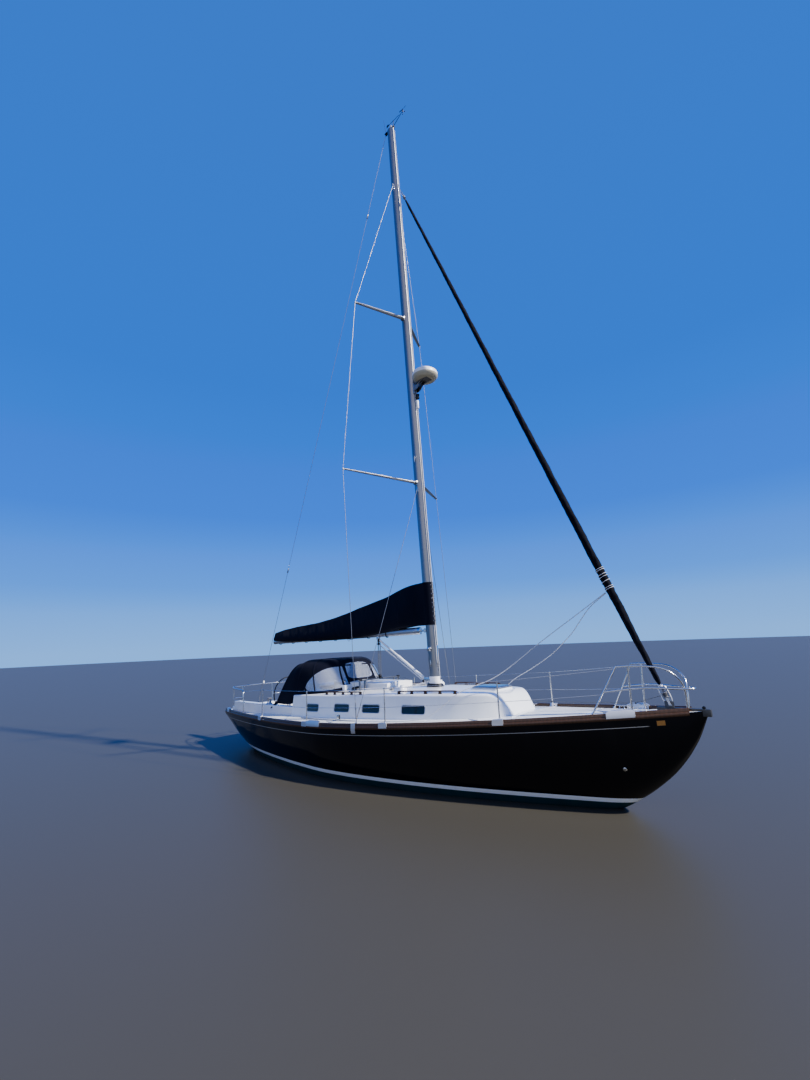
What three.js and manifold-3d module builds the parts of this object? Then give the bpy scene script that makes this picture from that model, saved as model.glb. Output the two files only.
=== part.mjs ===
// A sailing yacht of 11.5 m, in millimetres: +X to the bow, +Y to port, +Z up.
// The origin is on the centreline at the waterline, halfway along the deck.
import * as THREE from "three";
import { mergeVertices } from "three/addons/utils/BufferGeometryUtils.js";
import Module from "manifold-3d";

const wasm = await Module();
wasm.setup();

const GAP = 0.4; // between pieces that touch

// Hull: the deck's edge in plan and in height, and the keel line
const STEM_X = 5750;
const STERN_X = -5750;
const WIDEST_X = -650;
const HALF_BEAM = 1780;
const TRANSOM_HALF = 930;
const SHEER = { stern: 875, middle: 1040, stem: 1456 };
const HULL_WALL = 45;
const DECK_THICK = 40;
const CAMBER = 0.045; // rise of the deck's middle for each millimetre of half-beam

// The keel line's height and the fullness of the section at each place along the hull
const STATIONS = [
  // x, keel line z, fullness
  [-5750, 560, 0.62],
  [-5450, 385, 0.6],
  [-5100, 190, 0.58],
  [-4700, 10, 0.58],
  [-4200, -150, 0.56],
  [-3500, -310, 0.55],
  [-2600, -440, 0.58],
  [-1600, -525, 0.63],
  [-500, -570, 0.69],
  [600, -570, 0.77],
  [1600, -525, 0.86],
  [2500, -440, 0.97],
  [3300, -310, 1.08],
  [3900, -175, 1.16],
  [4450, 0, 1.22],
  [4720, 165, 1.24],
  [5000, 375, 1.22],
  [5300, 660, 1.18],
  [5500, 920, 1.12],
  [5620, 1120, 1.06],
  [5690, 1270, 1],
];
const SECTION_STEPS = 8;

// Coachroof: half-width at the deck and height of its edge
const ROOF = [
  // x, half-width, edge height, crown above the edge
  [-2350, 1130, 1435, 75],
  [-1200, 1160, 1480, 75],
  [0, 1130, 1525, 70],
  [1200, 1030, 1578, 58],
  [2100, 880, 1600, 42],
  [2500, 760, 1608, 32],
  [2770, 640, 1600, 22],
  [2870, 575, 1440, 16],
  [2980, 480, 1270, 10],
];
const ROOF_FRONT = ROOF.at(-1)[0];
const ROOF_WALL = 32;
const ROOF_LEAN = 70; // how far the sides lean in
const PORTLIGHTS = [
  // x from, x to, middle height
  [-1790, -1360, 1205],
  [-830, -390, 1255],
  [0, 440, 1285],
  [985, 1490, 1315],
];
const PORTLIGHT_HIGH = 145;
const COMPANIONWAY = { half: 300, sill: 1180, forward: -1650 };
const HATCH = { half: 330, from: -2375, to: -1690, thick: 26, travel: 600, low: 1580 };
const HOOD = { from: -1680, to: 50, high: 1695 };
const PLINTH = { from: -1300, to: -1030, half: 640, high: 1650 }; // under the dodger's front
const FORE_HATCH = { from: 2060, to: 2640, half: 280 };

// Cockpit
const COCKPIT = { fore: -2350, aft: -5080, half: 900, sole: 430, seat: 860, well: 420 };
const COAMING_TOP = 1160;
const TUB_WALL = 22;
const LID = { from: -3950, to: -2650, inner: 500, outer: 820, thick: 24 };

// Keel, rudder and drive
const KEEL = { top: [900, -900], foot: [420, -960], depth: -1980 };
const RUDDER = { x: -4230, top: -190, foot: -1600, stock: 31, bore: 31.6 };
const SHAFT = { fore: [-2395, -200], aft: [-3600, -488], radius: 15 };
const ENGINE = { from: -2390, to: -1600, half: 260, low: -300, high: 330 };
const BLADE_TIP = 165;

// Rig
const MAST = { x: 1015, foot: 1690, top: 16600, rake: 0.039, long: 116, half: 78, taper: 0.94 };
const SPREADERS = [
  // name, height at the mast, length, sweep, rise
  ["lower", 6030, 1778, 0.435, 0.081],
  ["upper", 10370, 1318, 0.435, 0.081],
];
const CHAINPLATE = { x: 400, inboard: 70 };
const CAP_MEETS_MAST = 14620;
const STAY_RADIUS = 5;
const FORESTAY = { head: [644, 14436], tack: [5285, 1545] };
const FURLED = { top: 13900, foot: 1790, thick: 68, thin: 30 };
const BACKSTAY_X = -5600;
const BOOM = { pivot: 815, z: 2760, end: -4790, rise: -0.012, high: 150, wide: 95 };
const COVER = [
  // x, underside, top, half-width
  [640, 2870, 3765, 120],
  [400, 2850, 3740, 165],
  [-240, 2770, 3570, 175],
  [-1100, 2690, 3400, 165],
  [-1900, 2660, 3240, 150],
  [-2800, 2650, 3120, 140],
  [-3700, 2660, 3060, 125],
  [-4400, 2680, 2990, 105],
  [-4770, 2705, 2930, 60],
];
const COLLAR = { low: 2890, high: 3770, thick: 24, open: 84 };
const VANG = { boomX: -590, mastZ: 1770, radius: 24 };
const RADAR = { z: 8600, ahead: 430, radius: 300, high: 230 };

// Deck gear
const STANCHIONS = [3050, 1030, -1000, -3050];
const LIFELINE_HIGH = 645;
const RAIL = { wide: 32, high: 55, inset: 4, end: 5540 };

const COLOURS = {
  navy: [0x0b0e16, 0.15, 0],
  white: [0xe9e7e0, 0.35, 0],
  teak: [0x8a4f22, 0.6, 0],
  steel: [0xc4c8cc, 0.25, 1],
  mast: [0xb9bcc0, 0.4, 0.9],
  canvas: [0x10152b, 0.9, 0],
  antifoul: [0x12343b, 0.8, 0],
  bronze: [0x9a7434, 0.4, 1],
  smoked: [0x22262a, 0.1, 0],
  engine: [0x8f2420, 0.5, 0],
};

const yacht = new THREE.Group();

// Helpers for closed solids
function bare(geometry) {
  const plain = geometry.index ? geometry.toNonIndexed() : geometry.clone();
  const only = new THREE.BufferGeometry();
  only.setAttribute("position", plain.getAttribute("position"));
  return mergeVertices(only, 1e-3);
}

function solid(geometry) {
  const merged = bare(geometry);
  return new wasm.Manifold(
    new wasm.Mesh({
      numProp: 3,
      vertProperties: merged.attributes.position.array,
      triVerts: new Uint32Array(merged.index.array),
    }),
  );
}

function geometryOf(body) {
  const mesh = body.getMesh();
  const made = new THREE.BufferGeometry();
  made.setAttribute("position", new THREE.BufferAttribute(new Float32Array(mesh.vertProperties), 3));
  made.setIndex(new THREE.BufferAttribute(new Uint32Array(mesh.triVerts), 1));
  made.computeVertexNormals();
  return made;
}

function add(name, body, colour) {
  const [hex, roughness, metalness] = COLOURS[colour];
  const material = new THREE.MeshStandardMaterial({ color: hex, roughness, metalness });
  const mesh = new THREE.Mesh(geometryOf(body), material);
  mesh.name = name;
  yacht.add(mesh);
  return body;
}

const join = (...bodies) => bodies.reduce((all, one) => all.add(one));
const mirrored = (points) => points.map(([x, y, z]) => [x, -y, z]);

// A closed body through rings of points; flat gives the two axes in which its ends are flat
function closed(rings, flat = ([, y, z]) => [y, z]) {
  const count = rings[0].length;
  const faces = [];
  for (let i = 0; i + 1 < rings.length; i++)
    for (let j = 0; j < count; j++) {
      const k = (j + 1) % count;
      const [a, b, c, d] = [i * count + j, i * count + k, (i + 1) * count + k, (i + 1) * count + j];
      faces.push([a, b, c], [a, c, d]);
    }
  const cap = (ring, start, forwards) => {
    const outline = ring.map((p) => new THREE.Vector2(...flat(p)));
    const inside = THREE.ShapeUtils.triangulateShape(outline, []);
    const area = (ids) => THREE.ShapeUtils.area(ids.map((n) => outline[n]));
    const total = inside.reduce((sum, ids) => sum + area(ids), 0);
    const along = total * THREE.ShapeUtils.area(outline) > 0;
    for (const [a, b, c] of inside) {
      const face = along === forwards ? [a, b, c] : [a, c, b];
      faces.push(face.map((n) => n + start));
    }
  };
  cap(rings[0], 0, false);
  cap(rings.at(-1), (rings.length - 1) * count, true);
  const made = (list) => {
    const skin = new THREE.BufferGeometry();
    skin.setAttribute("position", new THREE.Float32BufferAttribute(rings.flat(2), 3));
    return solid(skin.setIndex(list.flat()));
  };
  const body = made(faces);
  return body.volume() > 0 ? body : made(faces.map(([a, b, c]) => [a, c, b]));
}

function box([x0, y0, z0], [x1, y1, z1]) {
  const shape = new THREE.BoxGeometry(x1 - x0, y1 - y0, z1 - z0);
  return solid(shape.translate((x0 + x1) / 2, (y0 + y1) / 2, (z0 + z1) / 2));
}

// A round rod between two points
function rod(from, to, radius, sides = 12) {
  const a = new THREE.Vector3(...from);
  const along = new THREE.Vector3(...to).sub(a);
  const shape = new THREE.CylinderGeometry(radius, radius, along.length(), sides);
  shape.translate(0, along.length() / 2, 0);
  const turn = new THREE.Quaternion().setFromUnitVectors(new THREE.Vector3(0, 1, 0), along.normalize());
  return solid(shape.applyQuaternion(turn).translate(...from));
}

function disc(radius, sides) {
  const corners = Array.from({ length: sides }, (_, i) => {
    const turn = (2 * Math.PI * i) / sides;
    return new THREE.Vector2(radius * Math.cos(turn), radius * Math.sin(turn));
  });
  return new THREE.Shape(corners);
}

// A bent tube through points
function tube(points, radius, steps = 16, sides = 8, tension = 0.5) {
  const path = new THREE.CatmullRomCurve3(
    points.map((p) => new THREE.Vector3(...p)),
    false,
    "catmullrom",
    tension,
  );
  return solid(new THREE.ExtrudeGeometry(disc(radius, sides), { steps, extrudePath: path }));
}

function turned(profile, place, sides = 24) {
  const shape = new THREE.LatheGeometry(
    profile.map(([r, z]) => new THREE.Vector2(r, z)),
    sides,
  );
  return solid(shape.rotateX(Math.PI / 2).translate(...place));
}

// A flat outline in x and y, extruded from one height to another
function prism(outline, low, high) {
  const shape = new THREE.Shape(outline.map(([x, y]) => new THREE.Vector2(x, y)));
  const made = new THREE.ExtrudeGeometry(shape, { depth: high - low, bevelEnabled: false });
  return solid(made.translate(0, 0, low));
}

// A table's columns after the first, at a place between its rows
function at(table, x) {
  const rising = table[0][0] < table.at(-1)[0] ? table : [...table].reverse();
  const found = rising.findIndex((row) => row[0] >= x);
  const n = found < 0 ? rising.length - 1 : Math.max(1, found);
  const [low, high] = [rising[n - 1], rising[n]];
  const share = THREE.MathUtils.clamp((x - low[0]) / (high[0] - low[0]), 0, 1);
  return low.slice(1).map((value, i) => THREE.MathUtils.lerp(value, high[i + 1], share));
}

// Hull form: the deck's edge at each station, straight between stations
function beamCurve(x) {
  if (x < WIDEST_X) {
    const away = (WIDEST_X - x) / (WIDEST_X - STERN_X);
    return HALF_BEAM - (HALF_BEAM - TRANSOM_HALF) * away ** 1.5;
  }
  return HALF_BEAM * (1 - ((x - WIDEST_X) / (STEM_X + 20 - WIDEST_X)) ** 1.62);
}

function sheerCurve(x) {
  const along = (x - STERN_X) / (STEM_X - STERN_X);
  const bend = 2 * SHEER.stern + 2 * SHEER.stem - 4 * SHEER.middle;
  return SHEER.stern + (SHEER.stem - SHEER.stern - bend) * along + bend * along * along;
}

const EDGE = STATIONS.map(([x]) => [x, beamCurve(x), sheerCurve(x)]);
const halfBeam = (x) => at(EDGE, x)[0];
const sheer = (x) => at(EDGE, x)[1];

const deckTop = (x, y) => {
  const half = halfBeam(x);
  return sheer(x) + CAMBER * half * (1 - Math.min(1, Math.abs(y) / half) ** 2);
};

// One section of the hull from the port edge under the keel line to the starboard edge
function section(x, keel, fullness, grow, top) {
  const half = halfBeam(x) + grow;
  const rise = top - (keel - grow);
  const points = [];
  for (let i = -SECTION_STEPS; i <= SECTION_STEPS; i++) {
    const turn = (Math.PI / 2) * (Math.abs(i) / SECTION_STEPS);
    const y = -Math.sign(i) * half * Math.sin(turn) ** fullness;
    points.push([x, y, keel - grow + rise * (1 - Math.cos(turn))]);
  }
  return points;
}

const hullSkin = (grow, lift = 0) =>
  closed(
    STATIONS.map(([x, keel, fullness]) =>
      section(x, keel, fullness, grow, sheer(x) - DECK_THICK - GAP + lift),
    ),
  );

function hullHollow() {
  const rings = STATIONS.filter(([x]) => x > -5700 && x < 5400).map(([x, keel, fullness]) =>
    section(x, keel + 60, fullness, -HULL_WALL, sheer(x) + 200),
  );
  return closed(rings);
}

const below = hullSkin(GAP); // the hull's outside with room for what is fastened under it

// Hull with beds for the engine and the tube of the rudder's stock
function engineBeds() {
  return [-1, 1].map((side) => {
    const from = Math.min(side * ENGINE.half, side * (ENGINE.half - 70));
    return box([ENGINE.from - 60, from, -480], [ENGINE.to + 60, from + 70, ENGINE.low - GAP]);
  });
}

const shaftAt = (x) => {
  const { fore, aft } = SHAFT;
  return aft[1] + ((fore[1] - aft[1]) * (x - aft[0])) / (fore[0] - aft[0]);
};

function hullBody() {
  const shell = hullSkin(0).subtract(hullHollow());
  const inside = hullSkin(-10);
  const beds = engineBeds().map((bed) => bed.intersect(inside));
  const bearing = rod([RUDDER.x, 0, -140], [RUDDER.x, 0, 330], RUDDER.bore + 25, 24);
  const stern = rod([-2480, 0, shaftAt(-2480)], [-3250, 0, shaftAt(-3250)], SHAFT.radius + 22, 16);
  const whole = join(shell, ...beds, bearing.intersect(hullSkin(-10, 600)), stern.intersect(inside));
  return whole
    .subtract(rod([RUDDER.x, 0, -400], [RUDDER.x, 0, 400], RUDDER.bore, 32))
    .subtract(rod([-2300, 0, shaftAt(-2300)], [-3500, 0, shaftAt(-3500)], SHAFT.radius + 1, 24));
}
add("hull", hullBody(), "navy");

// Deck, cut for the cabin and the cockpit
function deckRing(x, lift, thick) {
  const half = halfBeam(x);
  const across = [-1, -0.75, -0.5, -0.25, 0, 0.25, 0.5, 0.75, 1].map((s) => s * half);
  const line = across.map((y) => [x, y, deckTop(x, y) + lift]);
  if (lift) {
    line.unshift([x, -half - 40, line[0][2]]);
    line.push([x, half + 40, line[0][2]]);
  }
  return [...line, ...line.map(([, y, z]) => [x, y, z - thick]).reverse()];
}

const deckPlaces = STATIONS.map(([x]) => x);
const deckPlate = (lift, thick) => closed(deckPlaces.map((x) => deckRing(x, lift, thick)));
const underDeck = deckPlate(GAP, 900);

function roofOutline(inset, from, to) {
  const places = ROOF.map(([x]) => x).filter((x) => x > from && x < to);
  const line = [from, ...places, to].map((x) => [x, at(ROOF, x)[0] - inset]);
  return [...line, ...line.map(([x, y]) => [x, -y]).reverse()];
}

function deckBody() {
  const cabin = prism(roofOutline(70, COCKPIT.fore + 60, ROOF_FRONT - 250), 500, 2000);
  const tub = box(
    [COCKPIT.aft - GAP * 3, -COCKPIT.half - GAP * 3, 500],
    [COCKPIT.fore + 2, COCKPIT.half + GAP * 3, 2000],
  );
  return deckPlate(0, DECK_THICK).subtract(cabin).subtract(tub);
}
add("deck", deckBody(), "white");

// Teak toe rails along the deck's edge
function toeRail(side) {
  const places = deckPlaces.filter((x) => x > -5700 && x < RAIL.end);
  const ends = [-5700, ...places, RAIL.end];
  const rings = ends.map((x) => {
    const outer = Math.max(halfBeam(x) - RAIL.inset, RAIL.wide + 3);
    const inner = outer - RAIL.wide;
    const low = deckTop(x, outer) + GAP + 1.2;
    return [
      [x, side * outer, low],
      [x, side * outer, low + RAIL.high],
      [x, side * inner, low + RAIL.high],
      [x, side * inner, low],
    ];
  });
  return closed(rings).subtract(underDeck);
}
add("toe_rail_port", toeRail(1), "teak");
add("toe_rail_starboard", toeRail(-1), "teak");

// Coachroof
function roofRing(x, grow) {
  const [half, edge, crown] = at(ROOF, x);
  const foot = half + grow;
  const head = half - ROOF_LEAN + grow;
  const low = 800 + (grow < 0 ? -60 : 0);
  const right = [
    [foot, low],
    [foot, sheer(x) - 60],
    [head, edge - 50 + grow],
    [head - 40, edge + grow],
    [head * 0.5, edge + crown * 0.75 + grow],
    [0, edge + crown + grow],
  ];
  const left = right.slice(0, -1).reverse();
  return [...right.map(([y, z]) => [x, y, z]), ...left.map(([y, z]) => [x, -y, z])];
}

const roofTop = (x) => {
  const [, edge, crown] = at(ROOF, x);
  return edge + crown;
};

function roofSkin(grow, from, to) {
  const places = ROOF.map(([x]) => x).filter((x) => x > from && x < to);
  return closed([from, ...places, to].map((x) => roofRing(x, grow)));
}

function coachroofBody() {
  const inner = roofSkin(-ROOF_WALL, COCKPIT.fore + ROOF_WALL, ROOF_FRONT - 130);
  let made = roofSkin(0, COCKPIT.fore, ROOF_FRONT).subtract(inner).subtract(underDeck);
  const { half, sill, forward } = COMPANIONWAY;
  made = made.subtract(box([COCKPIT.fore - 50, -half, sill], [forward, half, 2000]));
  for (const [from, to, middle] of PORTLIGHTS)
    made = made.subtract(
      box([from, -1400, middle - PORTLIGHT_HIGH / 2], [to, 1400, middle + PORTLIGHT_HIGH / 2]),
    );
  const { from, to, half: wide } = FORE_HATCH;
  const runners = [-1, 1].map((side) => {
    const y = side > 0 ? half + 4 : -half - 44;
    return box([COCKPIT.fore, y, 1475], [HATCH.to + HATCH.travel, y + 40, HATCH.low - GAP]);
  });
  const frame = box([from, -wide, 1590], [to, wide, foreHatchLow - GAP]);
  made = join(made, ...runners, frame);
  return made.subtract(box([from + 30, -wide + 30, 1500], [to - 30, wide - 30, 2000]));
}
const roofClear = roofSkin(GAP, COCKPIT.fore - 1, ROOF_FRONT + 1);
const foreHatchLow = roofTop(FORE_HATCH.from) + 14;
add("coachroof", coachroofBody(), "white");

// Cockpit tub with seats, locker openings and coamings that lie on the deck
function cockpitBody() {
  const { fore, aft, half, sole, seat, well } = COCKPIT;
  const back = fore - GAP * 2;
  const [wellAft, wellFore] = [aft + 320, back - 420];
  const tray = box([aft, -half, seat - TUB_WALL], [back, half, deckTop(fore, half) + 30]);
  const pit = box(
    [wellAft - TUB_WALL, -well - TUB_WALL, sole - TUB_WALL],
    [wellFore + TUB_WALL, well + TUB_WALL, seat],
  );
  const coamings = [-1, 1].map((side) => {
    const low = side > 0 ? half - 60 : -half - 130;
    return box([aft, low, sheer(aft) - 20], [back, low + 190, COAMING_TOP]);
  });
  const stern = box([aft - 90, -half - 130, sheer(aft) - 20], [aft + 40, half + 130, 1010]);
  const rim = join(...coamings, stern).subtract(underDeck);
  const room = join(
    box([aft + TUB_WALL, -half + TUB_WALL, seat], [back - TUB_WALL, half - TUB_WALL, 2000]),
    box([wellAft, -well, sole], [wellFore, well, 2000]),
  );
  const lockers = [-1, 1].map((side) => {
    const near = side > 0 ? LID.inner + 25 : -LID.outer + 25;
    const far = side > 0 ? LID.outer - 25 : -LID.inner - 25;
    return box([LID.from + 25, near, seat - 100], [LID.to - 25, far, 1000]);
  });
  return join(tray, pit, rim).subtract(join(room, ...lockers));
}
add("cockpit", cockpitBody(), "white");

for (const [side, name] of [
  [1, "port"],
  [-1, "starboard"],
]) {
  const [near, far] = side > 0 ? [LID.inner, LID.outer] : [-LID.outer, -LID.inner];
  const low = COCKPIT.seat + GAP;
  add(`locker_lid_${name}`, box([LID.from, near, low], [LID.to, far, low + LID.thick]), "white");
}

// Keel, a fin with a thicker foot
function foil(x0, x1, z, thick) {
  const points = [];
  const steps = [0, 0.03, 0.12, 0.3, 0.5, 0.75, 1];
  const wide = (s) => thick * (1.4845 * Math.sqrt(s) - 0.63 * s - 1.758 * s ** 2 + 1.4215 * s ** 3 - 0.5 * s ** 4);
  for (const s of steps) points.push([x0 + (x1 - x0) * s, wide(s), z]);
  for (const s of [...steps].reverse().slice(0, -1)) points.push([x0 + (x1 - x0) * s, -wide(s), z]);
  return points;
}

const fromAbove = ([x, y]) => [x, y];

function keelBody() {
  const { top, foot, depth } = KEEL;
  const rings = [
    foil(foot[0] + 90, foot[1] - 60, depth, 150),
    foil(foot[0] + 130, foot[1] - 90, depth + 130, 230),
    foil(foot[0] + 90, foot[1] - 20, depth + 300, 190),
    foil(foot[0] + 130, foot[1] + 10, depth + 420, 165),
    foil(top[0], top[1], -380, 190),
  ];
  return closed(rings, fromAbove).subtract(below);
}
add("keel", keelBody(), "antifoul");

// Rudder, a spade on its stock
function rudderBody() {
  const { x, top, foot, stock } = RUDDER;
  const blade = closed(
    [
      foil(x + 110, x - 330, foot, 60),
      foil(x + 135, x - 400, foot + 200, 80),
      foil(x + 150, x - 480, top, 105),
    ],
    fromAbove,
  );
  return blade.add(rod([x, 0, top - 400], [x, 0, 360], stock, 32));
}
add("rudder", rudderBody(), "antifoul");

// Engine, shaft, strut and propeller
add(
  "engine",
  box([ENGINE.from, -ENGINE.half + 20, ENGINE.low], [ENGINE.to, ENGINE.half - 20, ENGINE.high]),
  "engine",
);

function alongShaft(x, back) {
  return [x - back, 0, shaftAt(x - back)];
}

add("propeller_shaft", rod(alongShaft(SHAFT.fore[0], 0), alongShaft(SHAFT.aft[0], 0), SHAFT.radius, 24), "steel");

function strutBody() {
  const middle = SHAFT.aft[0] + 150;
  const barrel = rod(alongShaft(middle, -70), alongShaft(middle, 70), SHAFT.radius + 16, 20);
  const leg = closed(
    [foil(middle + 55, middle - 55, shaftAt(middle), 26), foil(middle + 70, middle - 70, 0, 32)],
    fromAbove,
  );
  const bore = rod(alongShaft(middle, -120), alongShaft(middle, 120), SHAFT.radius + 1, 24);
  return barrel.add(leg).subtract(bore).subtract(below);
}
add("shaft_strut", strutBody(), "bronze");

function propellerBody() {
  const hub = [SHAFT.aft[0] - GAP, SHAFT.aft[1]];
  const made = [turned([[0, -90], [22, -80], [38, -40], [40, 0], [0, 0]], [0, 0, 0], 20)];
  for (const turn of [0, 1, 2]) {
    const blade = new THREE.SphereGeometry(1, 10, 6);
    blade.scale(75, 52, 7).rotateX(0.62).translate(BLADE_TIP - 75, 0, -42);
    blade.rotateZ((turn * 2 * Math.PI) / 3);
    made.push(solid(blade));
  }
  const tilt = Math.atan2(SHAFT.fore[1] - SHAFT.aft[1], SHAFT.fore[0] - SHAFT.aft[0]);
  const turnedShape = geometryOf(join(...made));
  turnedShape.rotateY(Math.PI / 2 - tilt).translate(hub[0], 0, hub[1]);
  return solid(turnedShape);
}
add("propeller", propellerBody(), "bronze");

// Pedestal and wheel
const WHEEL = { x: -4120, z: 1290, radius: 430, tube: 14 };

function pedestalBody() {
  const { sole } = COCKPIT;
  const x = WHEEL.x + 150;
  const post = closed(
    [
      foil(x + 95, x - 95, sole + GAP, 150),
      foil(x + 70, x - 70, sole + 120, 110),
      foil(x + 70, x - 70, WHEEL.z - 60, 110),
      foil(x + 85, x - 85, WHEEL.z + 70, 130),
    ],
    fromAbove,
  );
  const axle = rod([x - 40, 0, WHEEL.z], [WHEEL.x + 25.5, 0, WHEEL.z], 24, 16);
  const guard = tube(
    [
      [x + 130, 190, sole + GAP],
      [x + 130, 190, WHEEL.z + 20],
      [x + 130, 120, WHEEL.z + 150],
      [x + 130, 0, WHEEL.z + 165],
      [x + 130, -120, WHEEL.z + 150],
      [x + 130, -190, WHEEL.z + 20],
      [x + 130, -190, sole + GAP],
    ],
    13,
    24,
    6,
  );
  const bridge = box([x + 40, -195, WHEEL.z - 20], [x + 140, 195, WHEEL.z + 8]);
  return join(post, axle, guard, bridge);
}
add("steering_pedestal", pedestalBody(), "white");

function wheelBody() {
  const ring = new THREE.TorusGeometry(WHEEL.radius, WHEEL.tube, 6, 32).rotateY(Math.PI / 2);
  const made = [solid(ring.translate(WHEEL.x, 0, WHEEL.z))];
  made.push(rod([WHEEL.x - 30, 0, WHEEL.z], [WHEEL.x + 25, 0, WHEEL.z], 45, 20));
  for (let i = 0; i < 6; i++) {
    const turn = (Math.PI * i) / 3;
    const reach = [WHEEL.x, WHEEL.radius * Math.sin(turn), WHEEL.z + WHEEL.radius * Math.cos(turn)];
    made.push(rod([WHEEL.x, 0, WHEEL.z], reach, 7, 8));
  }
  return join(...made);
}
add("steering_wheel", wheelBody(), "steel");

// Mast, raked aft, stepped on the coachroof
const mastX = (z) => MAST.x - (z - MAST.foot) * Math.tan(MAST.rake);

function oval(x, z, long, half, points = 16) {
  return Array.from({ length: points }, (_, i) => {
    const turn = (2 * Math.PI * i) / points;
    return [x + long * Math.cos(turn), half * Math.sin(turn), z];
  });
}

const mastSkin = (grow) =>
  closed(
    [
      oval(mastX(MAST.foot), MAST.foot, MAST.long + grow, MAST.half + grow),
      oval(mastX(14000), 14000, MAST.long + grow, MAST.half + grow),
      oval(mastX(MAST.top), MAST.top, MAST.long * MAST.taper + grow, MAST.half * MAST.taper + grow),
    ],
    fromAbove,
  );

const stepPad = closed(
  [oval(mastX(MAST.foot), 1500, 195, 155), oval(mastX(MAST.foot), MAST.foot - GAP, 180, 140)],
  fromAbove,
).subtract(roofClear);
add("mast_step", stepPad, "smoked");
add("mast", mastSkin(0), "mast");
const mastClear = mastSkin(GAP);

// Spreaders and shrouds
function spreaderTip([, z, length, sweep, rise], side, more = 0) {
  const reach = length + more;
  return [
    mastX(z) - reach * Math.sin(sweep),
    side * reach * Math.cos(sweep),
    z + reach * Math.sin(rise),
  ];
}

function spreaderBody(row, side) {
  const root = [mastX(row[1]), 0, row[1]];
  const tip = spreaderTip(row, side, -STAY_RADIUS - GAP - 0.3);
  const ringAt = ([x, y, z], long, high) =>
    oval(0, 0, long, high, 10).map(([dx, dz]) => [x + dx, y, z + dz]);
  const arm = closed([ringAt(root, 66, 24), ringAt(tip, 38, 14)], ([x, , z]) => [x, z]);
  return arm.subtract(mastClear);
}

function stayBody(points, radius = STAY_RADIUS) {
  const runs = points.slice(1).map((point, i) => rod(points[i], point, radius, 8));
  return join(...runs);
}

for (const [side, name] of [
  [1, "port"],
  [-1, "starboard"],
]) {
  const beam = halfBeam(CHAINPLATE.x) - CHAINPLATE.inboard;
  const foot = [CHAINPLATE.x, side * beam, deckTop(CHAINPLATE.x, beam) - 5];
  const hold = [mastX(CAP_MEETS_MAST), side * (MAST.half - 10), CAP_MEETS_MAST];
  const capLine = [foot, ...SPREADERS.map((row) => spreaderTip(row, side)), hold];
  const capRoom = stayBody(capLine, STAY_RADIUS + GAP);
  for (const row of SPREADERS)
    add(`spreader_${row[0]}_${name}`, spreaderBody(row, side).subtract(capRoom), "mast");
  add(`cap_shroud_${name}`, stayBody(capLine).subtract(mastClear).subtract(underDeck), "steel");
  const lowerFoot = [foot[0] - 110, side * (beam - 70), foot[2]];
  const lowerHead = [mastX(5900), side * 20, 5900];
  const lower = stayBody([lowerFoot, lowerHead]).subtract(mastClear).subtract(underDeck);
  add(`lower_shroud_${name}`, lower, "steel");
}

// Forestay with the rolled headsail and its drum
const stayAt = (z) => {
  const { head, tack } = FORESTAY;
  return tack[0] + ((head[0] - tack[0]) * (z - tack[1])) / (head[1] - tack[1]);
};
const onStay = (z) => [stayAt(z), 0, z];

const stayRod = rod(onStay(FORESTAY.tack[1]), onStay(FORESTAY.head[1]), STAY_RADIUS, 8);
add("forestay", stayRod, "steel");

function rolledSail() {
  const { top, foot, thick, thin } = FURLED;
  const heights = [foot, foot + 60, 3000, 4600, 8000, 11500, top - 200, top];
  const radii = [22, 36, thick, thick, thick * 0.8, thick * 0.58, thin, 20];
  const lean = Math.atan2(FORESTAY.tack[0] - FORESTAY.head[0], FORESTAY.head[1] - FORESTAY.tack[1]);
  const ringOf = (z, radius) =>
    oval(0, 0, radius, radius, 12).map(([a, b]) => [
      stayAt(z) + a * Math.cos(lean),
      b,
      z + a * Math.sin(lean),
    ]);
  const skin = closed(
    heights.map((z, i) => ringOf(z, radii[i])),
    fromAbove,
  );
  return skin.subtract(rod(onStay(foot - 300), onStay(top + 300), STAY_RADIUS + GAP, 8));
}
add("furled_genoa", rolledSail(), "canvas");

function drumBody() {
  const lean = Math.atan2(FORESTAY.tack[0] - FORESTAY.head[0], FORESTAY.head[1] - FORESTAY.tack[1]);
  const bore = STAY_RADIUS + 0.6;
  const profile = [
    [bore, 0], [46, 0], [46, 8], [30, 13], [30, 62], [46, 67], [46, 75], [17, 80], [17, 180], [bore, 180], [bore, 0],
  ];
  const shape = geometryOf(turned(profile, [0, 0, 0], 20));
  return solid(shape.rotateY(-lean).translate(...onStay(1605)));
}
add("furler_drum", drumBody().subtract(stayRod), "steel");

// Stem fitting
const stemFitting = join(
  box([5120, -38, 1380], [5790, 38, 1475]),
  box([FORESTAY.tack[0] - 60, -12, 1440], [FORESTAY.tack[0] + 60, 12, FORESTAY.tack[1] + 15]),
)
  .subtract(underDeck)
  .subtract(hullSkin(GAP))
  .subtract(rod(onStay(1500), onStay(1700), STAY_RADIUS + GAP, 8));
add("stemhead_fitting", stemFitting, "steel");

// Backstay
const tiltRoom = 2.2; // the leaning rod's end corner, and the gap
const sternFoot = [BACKSTAY_X, 0, deckTop(BACKSTAY_X, 0) + tiltRoom];
const craneEnd = [mastX(MAST.top) - 190, 0, MAST.top - tiltRoom + 2 * GAP];
add("backstay", stayBody([sternFoot, craneEnd]), "steel");

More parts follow.
